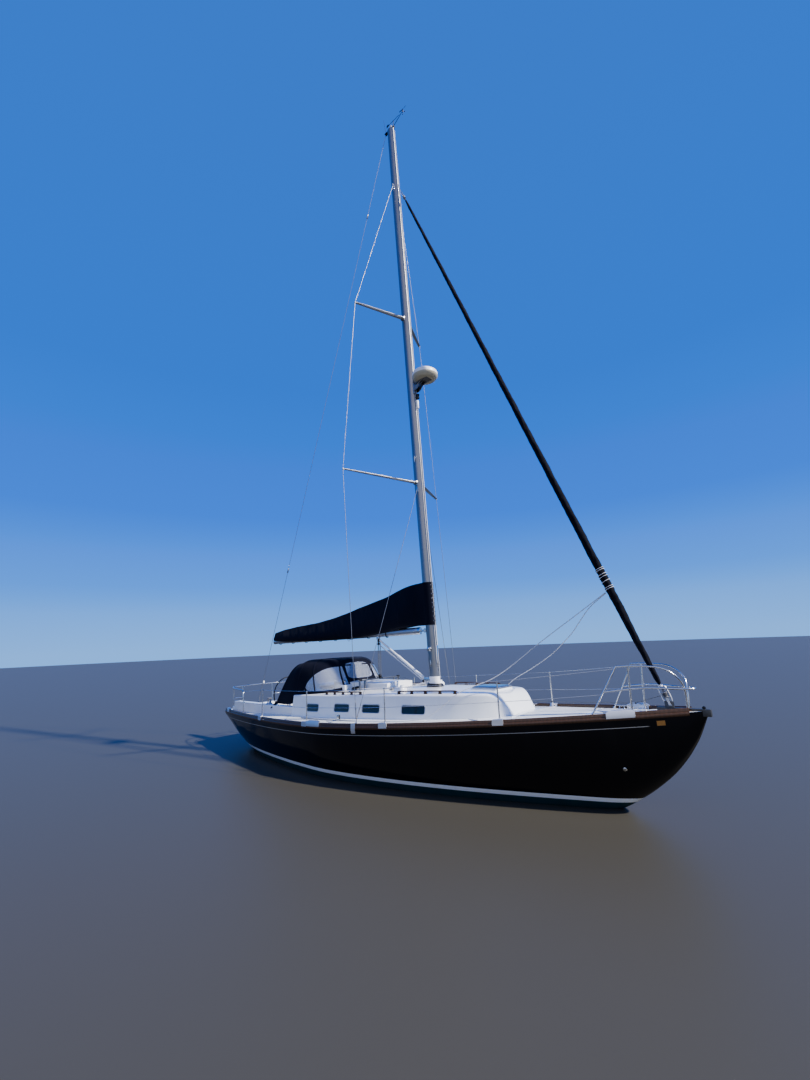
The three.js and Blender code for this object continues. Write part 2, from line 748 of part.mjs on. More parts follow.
// Masthead crane with lights and aerial, and the wind vane that turns on it
function mastheadBody() {
  const x = mastX(MAST.top);
  const low = MAST.top + GAP;
  const crane = box([x - 210, -35, low], [x + 130, 35, low + 26]);
  const aerial = rod([x - 180, 0, low + 20], [x - 260, 0, low + 620], 5, 8);
  const lamp = rod([x + 20, 0, low + 20], [x + 20, 0, low + 130], 34, 12);
  const post = rod([x + 105, 0, low + 20], [x + 105, 0, low + 210], 7, 8);
  return join(crane, aerial, lamp, post);
}
add("masthead_unit", mastheadBody(), "smoked");

const VANE = { x: mastX(MAST.top) + 105, z: MAST.top + 210 + GAP * 2 };
const vane = join(
  rod([VANE.x, 0, VANE.z], [VANE.x, 0, VANE.z + 30], 12, 10),
  rod([VANE.x - 240, 0, VANE.z + 18], [VANE.x + 240, 0, VANE.z + 18], 5, 8),
  box([VANE.x - 250, -3, VANE.z - 20], [VANE.x - 150, 3, VANE.z + 70]),
);
add("wind_vane", vane, "smoked");

// Boom, vang and the covered mainsail
const boomZ = (x) => BOOM.z + (BOOM.pivot - x) * BOOM.rise;

function boomBody() {
  const ringOf = (x) =>
    oval(0, 0, BOOM.high / 2, BOOM.wide / 2, 12).map(([a, b]) => [x, b, boomZ(x) + a]);
  const spar = closed([ringOf(BOOM.pivot - 120), ringOf(BOOM.end)]);
  const tongue = box([BOOM.pivot - 140, -14, BOOM.z - 22], [BOOM.pivot - 13, 14, BOOM.z + 22]);
  const eye = turned([[0, -24], [14, -24], [14, 24], [0, 24]], [BOOM.pivot, 0, BOOM.z], 16);
  return join(spar, tongue, eye);
}
const boomSolid = boomBody();

add("boom", boomSolid, "mast");

function gooseneckBody() {
  const ears = [-1, 1].map((side) => {
    const low = side > 0 ? 24.9 : -36.9;
    return box([BOOM.pivot - 18, -20, BOOM.z + low], [BOOM.pivot + 120, 20, BOOM.z + low + 12]);
  });
  const back = box([BOOM.pivot + 26, -20, BOOM.z - 37], [BOOM.pivot + 120, 20, BOOM.z + 37]);
  return join(...ears, back).subtract(mastClear);
}
add("gooseneck", gooseneckBody(), "steel");

function coverBody() {
  const rings = COVER.map(([x, low, high, half]) => {
    const middle = (low + high) / 2;
    return [
      [x, 0, low],
      [x, half * 0.75, low + 20],
      [x, half, low + (high - low) * 0.25],
      [x, half * 0.75, middle + (high - low) * 0.1],
      [x, half * 0.35, high - 25],
      [x, 0, high],
      [x, -half * 0.35, high - 25],
      [x, -half * 0.75, middle + (high - low) * 0.1],
      [x, -half, low + (high - low) * 0.25],
      [x, -half * 0.75, low + 20],
    ];
  });
  return closed(rings);
}
const boomClear = closed(
  [BOOM.pivot - 100, BOOM.end - 200].map((x) =>
    oval(0, 0, BOOM.high / 2 + GAP, BOOM.wide / 2 + GAP, 12).map(([a, b]) => [x, b, boomZ(x) + a]),
  ),
);
add("sail_cover", coverBody().subtract(boomClear), "canvas");

// The cover's front end, round the mast and laced together ahead of it
function collarBody() {
  const { low, high, thick, open } = COLLAR;
  const ringOf = (z, grow) => oval(mastX(z), z, MAST.long + grow, MAST.half + grow);
  const outer = closed([ringOf(low, thick), ringOf(high, thick)], fromAbove);
  const ahead = mastX(high) + open;
  return outer.subtract(mastClear).subtract(box([ahead, -200, low - 10], [ahead + 400, 200, high + 10]));
}
add("sail_cover_collar", collarBody(), "canvas");

function vangBody() {
  const top = [VANG.boomX, 0, boomZ(VANG.boomX) - BOOM.high / 2 - VANG.radius - 14];
  const foot = [BOOM.pivot - 60, 0, VANG.mastZ];
  const hanger = box([top[0] - 40, -20, top[2] - 10], [top[0] + 60, 20, boomZ(top[0])]);
  return rod(foot, top, VANG.radius, 12).add(hanger).subtract(boomClear);
}
add("vang", vangBody(), "mast");

// Radar on the mast's front
function radarBody() {
  const x = mastX(RADAR.z) + RADAR.ahead;
  const { radius, high } = RADAR;
  const dome = turned(
    [[0, 0], [radius * 0.8, 0], [radius, high * 0.3], [radius, high * 0.5], [radius * 0.82, high * 0.88], [0, high]],
    [x, 0, RADAR.z - high / 2],
    28,
  );
  const bracket = box([mastX(RADAR.z), -60, RADAR.z - high / 2 - 40], [x + 60, 60, RADAR.z - high / 2 + 10]);
  return dome.add(bracket).subtract(mastClear);
}
add("radar_dome", radarBody(), "white");

// Pulpit, pushpit and lifelines
const onDeck = (x, inboard, side, up = GAP) => {
  const y = halfBeam(x) - inboard;
  return [x, side * y, deckTop(x, y) + up];
};

// Each side's rail bends down to the deck ahead; the lower rail runs round the bow
function pulpitBody() {
  const [low, high] = [onDeck(4330, 75, 1, -5), onDeck(4725, 70, 1, 690)];
  const middle = low.map((value, i) => (value + high[i]) / 2);
  const front = [5515, 55, deckTop(5515, 55) - 5];
  const bend = [high, [5000, 320, 2065], [5300, 245, 2035], [5480, 170, 1900], [5525, 80, 1720], front];
  const lower = [middle, [5000, 300, 1755], [5480, 140, 1745], [5610, 60, 1745], [5640, 0, 1745]];
  const round = tube([...lower, ...mirrored(lower.slice(0, -1)).reverse()], 12.5, 28, 6);
  const sides = [bend, mirrored(bend)].map((line) => tube(line, 12.5, 20, 6));
  const legs = [low, ...mirrored([low])].map((foot, i) => rod(foot, i ? mirrored([high])[0] : high, 12.5, 8));
  return join(round, ...sides, ...legs).subtract(underDeck);
}
add("bow_pulpit", pulpitBody(), "steel");

function pushpitBody() {
  const foot = onDeck(-4350, 75, 1, -5);
  const half = [foot, onDeck(-4420, 75, 1, 560), [-5200, 990, 1485], [-5610, 720, 1485], [-5660, 0, 1490]];
  const rail = tube([...half, ...mirrored(half.slice(0, -1)).reverse()], 12.5, 48, 6);
  const posts = [-1, 1].flatMap((side) => [
    rod(onDeck(-5200, 75, side, -5), [-5200, side * 990, 1485], 12.5, 8),
    rod([-5600, side * 480, deckTop(-5600, 480) - 5], [-5645, side * 480, 1486], 12.5, 8),
  ]);
  return join(rail, ...posts).subtract(underDeck);
}
add("stern_pushpit", pushpitBody(), "steel");

function lifelineBody(side) {
  const posts = STANCHIONS.flatMap((x) => [
    rod(onDeck(x, 70, side, -5), onDeck(x, 70, side, LIFELINE_HIGH), 12.5, 8),
    rod(onDeck(x, 70, side, -5), onDeck(x, 70, side, 60), 22, 8),
  ]);
  const wires = [LIFELINE_HIGH - 15, 310].flatMap((up) =>
    STANCHIONS.slice(1).map((x, i) =>
      rod(onDeck(STANCHIONS[i], 70, side, up), onDeck(x, 70, side, up), 4, 6),
    ),
  );
  return join(...posts, ...wires).subtract(underDeck);
}
add("lifelines_port", lifelineBody(1), "steel");
add("lifelines_starboard", lifelineBody(-1), "steel");

// Sliding hatch of the companionway, the hood that it slides under, and its washboards
function crowned(x0, x1, half, low, thick, rise) {
  const ringOf = (x) => {
    const top = [-1, -0.5, 0, 0.5, 1].map((s) => [x, s * half, low + rise * (1 - s * s) + thick]);
    const under = [1, 0.5, 0, -0.5, -1].map((s) => [x, s * half, low + rise * (1 - s * s)]);
    return [...top, ...under];
  };
  return closed([ringOf(x0), ringOf(x1)]);
}

add("companionway_hatch", crowned(HATCH.from, HATCH.to, HATCH.half, HATCH.low, HATCH.thick, 26), "smoked");

function hoodSkin(grow) {
  const low = 1480;
  const hood = crowned(HOOD.from - grow, HOOD.to + grow, HATCH.half + 75 + grow, low, HOOD.high - low + grow, 30);
  const { from, to, half, high } = PLINTH;
  return hood.add(crowned(from - grow, to + grow, half + grow, low, high - low + grow, 10));
}

function seaHoodBody() {
  const room = crowned(HOOD.from - 100, HOOD.to - 60, HATCH.half + 30, 1400, HOOD.high - 1400 - 24, 30);
  return hoodSkin(0).subtract(room).subtract(roofClear);
}
add("sea_hood", seaHoodBody(), "white");

const boardsAt = COCKPIT.fore + 6;
const boards = box(
  [boardsAt, -COMPANIONWAY.half + 1, COMPANIONWAY.sill + GAP],
  [boardsAt + 20, COMPANIONWAY.half - 1, HATCH.low - 10],
);
add("washboards", boards, "teak");

// Hatch on the coachroof ahead of the mast
const foreHatch = box(
  [FORE_HATCH.from, -FORE_HATCH.half, foreHatchLow],
  [FORE_HATCH.to, FORE_HATCH.half, foreHatchLow + 32],
);
add("forward_hatch", foreHatch, "smoked");

// Winches on the coamings
for (const [side, name] of [
  [1, "port"],
  [-1, "starboard"],
]) {
  const profile = [[0, 0], [75, 0], [75, 18], [52, 30], [48, 100], [62, 118], [62, 138], [34, 150], [0, 150]];
  const place = [-3550, side * (COCKPIT.half + 35), COAMING_TOP + GAP];
  add(`winch_${name}`, turned(profile, place, 16), "steel");
}

// Dodger of cloth over its hoops
const DODGER = [
  // x at the foot, x at the top, half-width, foot height, top height, roundness
  [-1040, -1440, 590, 1520, 2190, 0.35],
  [-1240, -1590, 800, 1495, 2215, 0.31],
  [-1650, -1850, 960, 1450, 2220, 0.26],
  [-2350, -2150, 1030, 1250, 2205, 0.2],
  [-3150, -2480, 1000, 1195, 2130, 0.2],
];
const HOOP = { place: 0.12, inset: 45 }; // between the last two rows
const CLOTH = 8;

function dodgerRing([back, over, half, foot, top, round], grow, drop = 0) {
  const high = top + grow - foot;
  const right = [];
  for (let i = 0; i <= 7; i++) {
    const turn = (Math.PI / 2) * (i / 7);
    const share = Math.sin(turn) ** (0.25 + 1.7 * round) - (i ? 0 : drop / high);
    right.push([back + (over - back) * share, (half + grow) * Math.cos(turn) ** round, foot + high * share]);
  }
  right[7][1] = 0;
  return [...right, ...mirrored(right.slice(0, -1)).reverse()];
}

function dodgerBody() {
  const outer = closed(DODGER.map((row) => dodgerRing(row, 0)));
  const moved = ([back, over, ...rest], by) => [back + by, over + by, ...rest];
  const rows = [moved(DODGER[0], -10), ...DODGER.slice(1), moved(DODGER.at(-1), -50)];
  const inner = closed(rows.map((row) => dodgerRing(row, -CLOTH, 80)));
  return outer.subtract(inner).subtract(roofClear).subtract(hoodSkin(GAP));
}
add("dodger", dodgerBody(), "canvas");

// The hoop at the dodger's open end, standing on the coamings
function hoopBody() {
  const [ahead, behind] = DODGER.slice(-2);
  const row = ahead.map((value, i) => THREE.MathUtils.lerp(value, behind[i], HOOP.place));
  const bend = dodgerRing(row, -HOOP.inset).filter(([, , z]) => z > 1350);
  const feet = [bend[0][1], bend.at(-1)[1]].map((y) => [row[0], y, COAMING_TOP - 5]);
  const floor = box([-6000, -2000, 0], [0, 2000, COAMING_TOP + GAP]);
  return tube([feet[0], ...bend, feet[1]], 12, 30, 6, 0.3).subtract(floor);
}
add("dodger_frame", hoopBody(), "steel");

export default yacht;
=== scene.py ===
"""Sailing yacht of 11.5 m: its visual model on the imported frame, in metres.
+X points to the bow, +Y to port and +Z up, with the waterline at z = 0."""

from math import acos, atan2, copysign, cos, pi, radians, sin, sqrt, tan

import bmesh
import bpy
import numpy as np
from mathutils import Matrix, Vector
from mathutils.bvhtree import BVHTree


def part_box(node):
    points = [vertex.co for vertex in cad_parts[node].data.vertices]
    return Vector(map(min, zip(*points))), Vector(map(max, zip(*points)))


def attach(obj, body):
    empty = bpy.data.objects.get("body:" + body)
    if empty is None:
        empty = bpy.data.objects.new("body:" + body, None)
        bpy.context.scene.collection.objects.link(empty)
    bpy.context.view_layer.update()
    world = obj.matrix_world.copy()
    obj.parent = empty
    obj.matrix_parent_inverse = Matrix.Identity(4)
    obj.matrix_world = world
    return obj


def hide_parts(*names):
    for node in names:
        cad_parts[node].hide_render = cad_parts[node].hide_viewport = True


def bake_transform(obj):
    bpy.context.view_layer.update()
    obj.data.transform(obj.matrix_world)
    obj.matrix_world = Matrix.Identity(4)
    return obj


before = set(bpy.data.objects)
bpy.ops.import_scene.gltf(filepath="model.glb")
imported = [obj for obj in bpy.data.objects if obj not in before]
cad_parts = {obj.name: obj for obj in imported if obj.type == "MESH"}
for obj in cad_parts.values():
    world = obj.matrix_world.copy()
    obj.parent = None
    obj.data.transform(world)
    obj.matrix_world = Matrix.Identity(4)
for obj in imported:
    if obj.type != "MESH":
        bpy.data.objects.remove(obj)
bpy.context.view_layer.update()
scene = bpy.context.scene
UP = Vector((0, 0, 1))
SIDES = ((1, "port"), (-1, "starboard"))


def linked(name, data):
    made = bpy.data.objects.new(name, data)
    scene.collection.objects.link(made)
    return made


def around(count):
    """Angles of a full turn in even steps."""
    return np.linspace(0, 2 * pi, count, endpoint=False)


def mm(*row):
    """Pairs in metres, such as a profile's radius and height, from a row in millimetres."""
    return [(a / 1000, b / 1000) for a, b in zip(row[::2], row[1::2])]


def turn_to(way, start=UP):
    """The turn that takes one direction to another."""
    return start.rotation_difference(way).to_matrix().to_4x4()


# Camera at the photograph's place
def aim_camera():
    place = Vector((7.132, -7.759, 2.543))
    yaw, pitch, roll = -0.718, 0.216, -0.040
    ahead = Vector((sin(yaw) * cos(pitch), cos(yaw) * cos(pitch), sin(pitch)))
    level = ahead.cross(UP).normalized()
    up = level.cross(ahead)
    right = cos(roll) * level + sin(roll) * up
    top = -sin(roll) * level + cos(roll) * up
    camera = bpy.data.cameras.new("camera")
    camera.sensor_width = 36
    focal, picture_high = 463.222, 1080  # in pixels
    camera.lens = focal / picture_high * camera.sensor_width
    camera.clip_end = 500
    holder = linked("camera", camera)
    holder.matrix_world = Matrix.Translation(place) @ Matrix((right, top, -ahead)).transposed().to_4x4()
    scene.camera = holder


aim_camera()

# Hull form: x, keel line z, fullness of the section
STATIONS = np.array(
    [
        [-5.75, 0.56, 0.62],
        [-5.45, 0.385, 0.6],
        [-5.1, 0.19, 0.58],
        [-4.7, 0.01, 0.58],
        [-4.2, -0.15, 0.56],
        [-3.5, -0.31, 0.55],
        [-2.6, -0.44, 0.58],
        [-1.6, -0.525, 0.63],
        [-0.5, -0.57, 0.69],
        [0.6, -0.57, 0.77],
        [1.6, -0.525, 0.86],
        [2.5, -0.44, 0.97],
        [3.3, -0.31, 1.08],
        [3.9, -0.175, 1.16],
        [4.45, 0.0, 1.22],
        [4.72, 0.165, 1.24],
        [5.0, 0.375, 1.22],
        [5.3, 0.66, 1.18],
        [5.5, 0.92, 1.12],
        [5.62, 1.12, 1.06],
        [5.69, 1.27, 1.0],
        [5.752, 1.412, 0.95],
    ]
)
STERN, STEM, WIDEST = -5.75, 5.75, -0.65
DECK_THICK = 0.04

# Coachroof: x, half-width, edge height, crown
ROOF = np.array(
    [
        [-2.35, 1.13, 1.435, 0.075],
        [-1.2, 1.16, 1.48, 0.075],
        [0.0, 1.13, 1.525, 0.07],
        [1.2, 1.03, 1.578, 0.058],
        [2.1, 0.88, 1.6, 0.042],
        [2.5, 0.76, 1.608, 0.032],
        [2.72, 0.66, 1.602, 0.024],
        [2.85, 0.585, 1.45, 0.016],
        [2.98, 0.48, 1.27, 0.01],
    ]
)
ROOF_LEAN = 0.07
PORTLIGHTS = [(-1.79, -1.36, 1.205), (-0.83, -0.39, 1.255), (0.0, 0.44, 1.285), (0.985, 1.49, 1.315)]
PORTLIGHT_HIGH = 0.145
MAST = dict(x=1.015, foot=1.69, top=16.6, rake=0.039, long=0.116, half=0.078)
SPREADERS = {"lower": (6.03, 1.778), "upper": (10.37, 1.318)}
SWEEP, RISE = 0.435, 0.081
FORESTAY = ((0.628, 14.48), (5.285, 1.545))
BOOM = dict(pivot=0.815, z=2.76, end=-4.79, rise=-0.012)
STANCHIONS = (3.05, 1.03, -1.0, -3.05)
RAIL_TUBE = (0.0125, 14)  # radius and sides


def smooth_row(table, column, x):
    """A column of a table between its rows, on a curve through them."""
    xs, ys = table[:, 0], table[:, column]
    slope = np.gradient(ys, xs)
    i = np.clip(np.searchsorted(xs, x) - 1, 0, len(xs) - 2)
    step = xs[i + 1] - xs[i]
    t = np.clip((x - xs[i]) / step, 0, 1)
    a, b = 2 * t**3 - 3 * t**2 + 1, t**3 - 2 * t**2 + t
    c, d = -2 * t**3 + 3 * t**2, t**3 - t**2
    return a * ys[i] + b * step * slope[i] + c * ys[i + 1] + d * step * slope[i + 1]


def half_beam(x):
    if x < WIDEST:
        return 1.78 - 0.85 * ((WIDEST - x) / (WIDEST - STERN)) ** 1.5
    return 1.78 * (1 - min(1, (x - WIDEST) / (STEM + 0.02 - WIDEST)) ** 1.62)


def sheer(x):
    along = (x - STERN) / (STEM - STERN)
    return 0.875 + 0.079 * along + 0.502 * along * along


def deck_top(x, y):
    half = max(half_beam(x), 1e-3)
    return sheer(x) + 0.045 * half * (1 - min(1, abs(y) / half) ** 2)


def roof_at(x):
    """Half-width, edge height and crown of the coachroof, with a rounded brow."""
    near = x + min(0.09, max(0.01, 2.99 - x)) * np.linspace(-1, 1, 9)
    return [float(np.mean(np.interp(near, ROOF[:, 0], ROOF[:, c]))) for c in (1, 2, 3)]


def roof_z(x, y):
    """Height of the coachroof's top."""
    half, edge, crown = roof_at(x)
    head = half - ROOF_LEAN
    return edge + crown * (1 - min(1, abs(y) / head) ** 2)


def roof_side(x, z):
    """The coachroof's side: its distance from the centreline at a height."""
    half, edge, _ = roof_at(x)
    low = sheer(x) - 0.06
    return half - ROOF_LEAN * (z - low) / (edge - 0.05 - low)


def mast_x(z):
    return MAST["x"] - (z - MAST["foot"]) * tan(MAST["rake"])


def boom_z(x):
    return BOOM["z"] + (BOOM["pivot"] - x) * BOOM["rise"]


def on_stay(z):
    (x1, z1), (x0, z0) = FORESTAY
    return Vector((x0 + (x1 - x0) * (z - z0) / (z1 - z0), 0, z))


def spreader_tip(name, side):
    z, length = SPREADERS[name]
    return Vector((mast_x(z) - length * sin(SWEEP), side * length * cos(SWEEP), z + length * sin(RISE)))


# Mesh helpers
class Shape:
    """Gathers the closed bodies of one piece."""

    def __init__(self):
        self.points, self.faces, self.slots = [], [], []

    def put(self, points, faces, slot=0):
        start = len(self.points)
        self.points += [tuple(p) for p in points]
        self.faces += [tuple(i + start for i in f) for f in faces]
        self.slots += [slot] * len(faces)
        return self

    def loft(self, rings, slot=0, caps=True, ring_closed=True):
        """A skin through rings with the same number of points."""
        count = len(rings[0])
        faces = []
        for i in range(len(rings) - 1):
            for j in range(count if ring_closed else count - 1):
                k = (j + 1) % count
                faces.append((i * count + j, i * count + k, (i + 1) * count + k, (i + 1) * count + j))
        if caps:
            faces.append(tuple(reversed(range(count))))
            faces.append(tuple(range((len(rings) - 1) * count, len(rings) * count)))
        return self.put([p for ring in rings for p in ring], faces, slot)

    def tube(self, path, radius, sides=10, slot=0, flat=1.0):
        """A tube along a path; radius may change along it."""
        path = [Vector(p) for p in path]
        radii = radius if hasattr(radius, "__len__") else [radius] * len(path)
        along = [(path[min(i + 1, len(path) - 1)] - path[max(i - 1, 0)]).normalized() for i in range(len(path))]
        normal = along[0].orthogonal().normalized()
        if abs(along[0].z) < 0.9:
            normal = (UP - along[0] * along[0].z).normalized()
        rings = []
        for place, direction, r in zip(path, along, radii):
            normal = (normal - direction * normal.dot(direction)).normalized()
            across = direction.cross(normal)
            rings.append(
                [
                    place + normal * (r * flat * cos(a)) + across * (r * sin(a))
                    for a in around(sides)
                ]
            )
        return self.loft(rings, slot)

    def turned(self, profile, place, axis=(0, 0, 1), sides=32, slot=0):
        """A profile of (radius, height) turned about an axis through place."""
        turn = UP.rotation_difference(Vector(axis))
        rings = []
        for r, z in profile:
            r = max(r, 1e-5)
            ring = [Vector((r * cos(a), r * sin(a), z)) for a in around(sides)]
            rings.append([turn @ p + Vector(place) for p in ring])
        return self.loft(rings, slot)

    def block(self, low, high, bevel=0.004, slot=0):
        """A box with its edges taken off."""
        made = bmesh.new()
        bmesh.ops.create_cube(made, size=1)
        size = [b - a for a, b in zip(low, high)]
        for v in made.verts:
            v.co = Vector(a + (c + 0.5) * s for a, c, s in zip(low, v.co, size))
        if bevel:
            bmesh.ops.bevel(
                made, geom=made.edges[:], offset=min(bevel, min(size) * 0.45), segments=2, profile=0.6, affect="EDGES"
            )
        made.verts.index_update()
        self.put([v.co.copy() for v in made.verts], [[v.index for v in f.verts] for f in made.faces], slot)
        made.free()
        return self

    def moved(self, matrix):
        self.points = [tuple(matrix @ Vector(p)) for p in self.points]
        return self

    def add(self, other, matrix=None, slot=None):
        points = [matrix @ Vector(p) for p in other.points] if matrix else other.points
        start = len(self.points)
        self.points += [tuple(p) for p in points]
        self.faces += [tuple(i + start for i in f) for f in other.faces]
        self.slots += other.slots if slot is None else [slot] * len(other.faces)
        return self

    def mirrored(self):
        """The same bodies on the other side of the centreline."""
        made = Shape()
        made.points = [(x, -y, z) for x, y, z in self.points]
        made.faces = [tuple(reversed(f)) for f in self.faces]
        made.slots = list(self.slots)
        return made

    def object(self, name, *materials, angle=40):
        mesh = bpy.data.meshes.new(name)
        mesh.from_pydata(self.points, [], self.faces)
        mesh.polygons.foreach_set("material_index", self.slots)
        for material in materials:
            mesh.materials.append(material)
        made = bmesh.new()
        made.from_mesh(mesh)
        bmesh.ops.remove_doubles(made, verts=made.verts, dist=1e-6)
        bmesh.ops.recalc_face_normals(made, faces=made.faces)
        made.to_mesh(mesh)
        made.free()
        mesh.shade_smooth()
        mesh.set_sharp_from_angle(angle=radians(angle))
        return linked(name, mesh)

    def piece(self, name, finish, slot="fittings", *nodes, body="yacht", angle=40):
        """The finished object, settled on its body."""
        return settle(self.object(name, finish, angle=angle), slot, *nodes, body=body)


def settle(made, slot, *nodes, body="yacht"):
    """Rides the finished piece on its body and hides the nodes it stands for; the slot is not used."""
    if body:
        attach(made, body)
    if nodes:
        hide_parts(*nodes)
    return made


def evaluated(made):
    """The object with its modifiers taken into a plain mesh."""
    bpy.context.view_layer.update()
    mesh = bpy.data.meshes.new_from_object(made.evaluated_get(bpy.context.evaluated_depsgraph_get()))
    old = made.data
    made.modifiers.clear()
    made.data = mesh
    bpy.data.meshes.remove(old)
    return made


def cut(made, *tools, how="DIFFERENCE"):
    for tool in tools:
        change = made.modifiers.new("cut", "BOOLEAN")
        change.object, change.operation, change.solver = tool, how, "EXACT"
    evaluated(made)
    for tool in tools:
        bpy.data.objects.remove(tool)
    return made


def smooth(made, angle=40):
    made.data.shade_smooth()
    made.data.set_sharp_from_angle(angle=radians(angle))
    return made


def softened(node, name, width, material, segments=2, angle=30, flat=2.0):
    """A copy of a node's shape with its sharp edges rounded."""
    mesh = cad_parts[node].data.copy()
    made = bmesh.new()
    made.from_mesh(mesh)
    bmesh.ops.remove_doubles(made, verts=made.verts, dist=2e-5)
    bmesh.ops.dissolve_limit(made, angle_limit=radians(flat), verts=made.verts, edges=made.edges)
    bmesh.ops.connect_verts_concave(made, faces=made.faces)
    edges = [e for e in made.edges if len(e.link_faces) == 2 and e.calc_face_angle(0) > radians(angle)]
    bmesh.ops.bevel(
        made, geom=edges, offset=width, segments=segments, profile=0.6, affect="EDGES", clamp_overlap=True
    )
    made.to_mesh(mesh)
    made.free()
    mesh.materials.clear()
    mesh.materials.append(material)
    mesh.name = name
    return smooth(linked(name, mesh), 35)


def mirrored(line):
    """The line's points on the other side, back to front and without the shared last one."""
    return [Vector((p[0], -p[1], p[2])) for p in reversed(line[:-1])]


def running_length(points):
    """Distance along the points from the first of them to each."""
    made = [0.0]
    for a, b in zip(points, points[1:]):
        made.append(made[-1] + (Vector(b) - Vector(a)).length)
    return made


def sheave(radius, rim, half, groove):
    """Profile of a block's cheeks and wheel about its pin."""
    return [(0, -half), (rim, -half), (radius, -groove), (radius, groove), (rim, half), (0, half)]


def curve_points(points, steps=8):
    """A smooth path through points."""
    pts = [Vector(p) for p in points]
    made = []
    for i in range(len(pts) - 1):
        a, b, c, d = pts[max(i - 1, 0)], pts[i], pts[i + 1], pts[min(i + 2, len(pts) - 1)]
        for k in range(steps):
            t = k / steps
            bend = (2 * a - 5 * b + 4 * c - d) * t * t
            made.append(0.5 * (2 * b + (c - a) * t + bend + (3 * b - 3 * c + d - a) * t**3))
    return made + [pts[-1]]


def sagging(start, end, drop, steps=14):
    """A line hung between two points, lower in the middle by drop."""
    start, end = Vector(start), Vector(end)
    return [start.lerp(end, t) - Vector((0, 0, 4 * drop * t * (1 - t))) for t in np.linspace(0, 1, steps + 1)]


# Materials
COLOR, FLOAT, VECTOR = "NodeSocketColor", "NodeSocketFloat", "NodeSocketVector"


def group(name, inputs, outputs, build):
    """A shader node group with named sockets; build fills it."""
    tree = bpy.data.node_groups.new(name, "ShaderNodeTree")
    for label, kind, value in inputs:
        socket = tree.interface.new_socket(label, in_out="INPUT", socket_type=kind)
        if value is not None:
            socket.default_value = value
    for label, kind in outputs:
        tree.interface.new_socket(label, in_out="OUTPUT", socket_type=kind)
    source, sink = tree.nodes.new("NodeGroupInput"), tree.nodes.new("NodeGroupOutput")
    build(Nodes(tree), source.outputs, sink.inputs)
    return tree


class Nodes:
    """Short calls for adding and joining nodes of one tree."""

    def __init__(self, tree):
        self.tree = tree

    def feed(self, socket, value):
        if isinstance(value, bpy.types.NodeSocket):
            self.tree.links.new(value, socket)
        elif value is not None:
            if hasattr(socket.default_value, "__len__") and not hasattr(value, "__len__"):
                value = (value,) * len(socket.default_value)
            if hasattr(value, "__len__") and len(value) == 3 and len(socket.default_value) == 4:
                value = (*value, 1)
            socket.default_value = value

    def node(self, kind, inputs=None, **settings):
        made = self.tree.nodes.new("ShaderNode" + kind)
        for key, value in settings.items():
            setattr(made, key, value)
        for key, value in (inputs or {}).items():
            self.feed(made.inputs[key], value)
        return made

    def math(self, operation, a, b=0.0, c=0.0):
        made = self.node("Math", operation=operation)
        for socket, value in zip(made.inputs, (a, b, c)):
            self.feed(socket, value)
        return made.outputs[0]

    def times(self, a, b):
        return self.math("MULTIPLY", a, b)

    def plus(self, a, b):
        return self.math("ADD", a, b)

    def ramp(self, value, low, high):
        """0 at low and 1 at high."""
        return self.node("MapRange", {"Value": value, "From Min": low, "From Max": high}).outputs[0]

    def mix(self, share, a, b):
        made = self.node("Mix", data_type="RGBA")
        for socket, value in zip((made.inputs[0], made.inputs[6], made.inputs[7]), (share, a, b)):
            self.feed(socket, value)
        return made.outputs[2]

    def noise(self, where, scale, detail=3.0, rough=0.5, stretch=None):
        if stretch:
            where = self.node("Mapping", {"Vector": where, "Scale": stretch}).outputs[0]
        made = self.node("TexNoise", {"Vector": where, "Scale": scale, "Detail": detail, "Roughness": rough})
        return made.outputs["Fac"]

    def band(self, value, low, high, soft=0.0008):
        """1 between low and high, with soft edges."""
        return self.times(self.ramp(value, low - soft, low + soft), self.ramp(value, high + soft, high - soft))


def build_weathering(n, given, result):
    """Broad tone changes, fine speckle and rain streaks down the surface."""
    where = n.node("TexCoord").outputs["Object"]
    broad = n.noise(where, 1.3, 4)
    streak = n.noise(where, 5, 3, 0.6, (1, 1, 0.12))
    speck = n.noise(where, given["Fine"], 2)
    tone = n.plus(n.times(broad, 0.5), n.times(streak, 0.5))
    away = n.times(n.math("SUBTRACT", tone, 0.5), given["Amount"])
    dirt = n.ramp(streak, 0.55, 0.85)
    bright = n.plus(1.0, away)
    shaded = n.node("VectorMath", operation="SCALE")
    n.feed(shaded.inputs[0], given["Color"])
    n.feed(shaded.inputs["Scale"], bright)
    n.feed(result["Color"], n.mix(n.times(dirt, given["Dirt"]), shaded.outputs[0], given["Dirt color"]))
    n.feed(result["Roughness"], n.plus(given["Roughness"], n.times(away, 0.35)))
    n.feed(result["Height"], n.plus(n.times(speck, 0.3), n.times(broad, 0.7)))


weathering = group(
    "Weathering",
    [
        ("Color", COLOR, (1, 1, 1, 1)),
        ("Dirt color", COLOR, (0.2, 0.18, 0.14, 1)),
        ("Amount", FLOAT, 0.12),
        ("Dirt", FLOAT, 0.1),
        ("Roughness", FLOAT, 0.3),
        ("Fine", FLOAT, 220.0),
    ],
    [("Color", COLOR), ("Roughness", FLOAT), ("Height", FLOAT)],
    build_weathering,
)


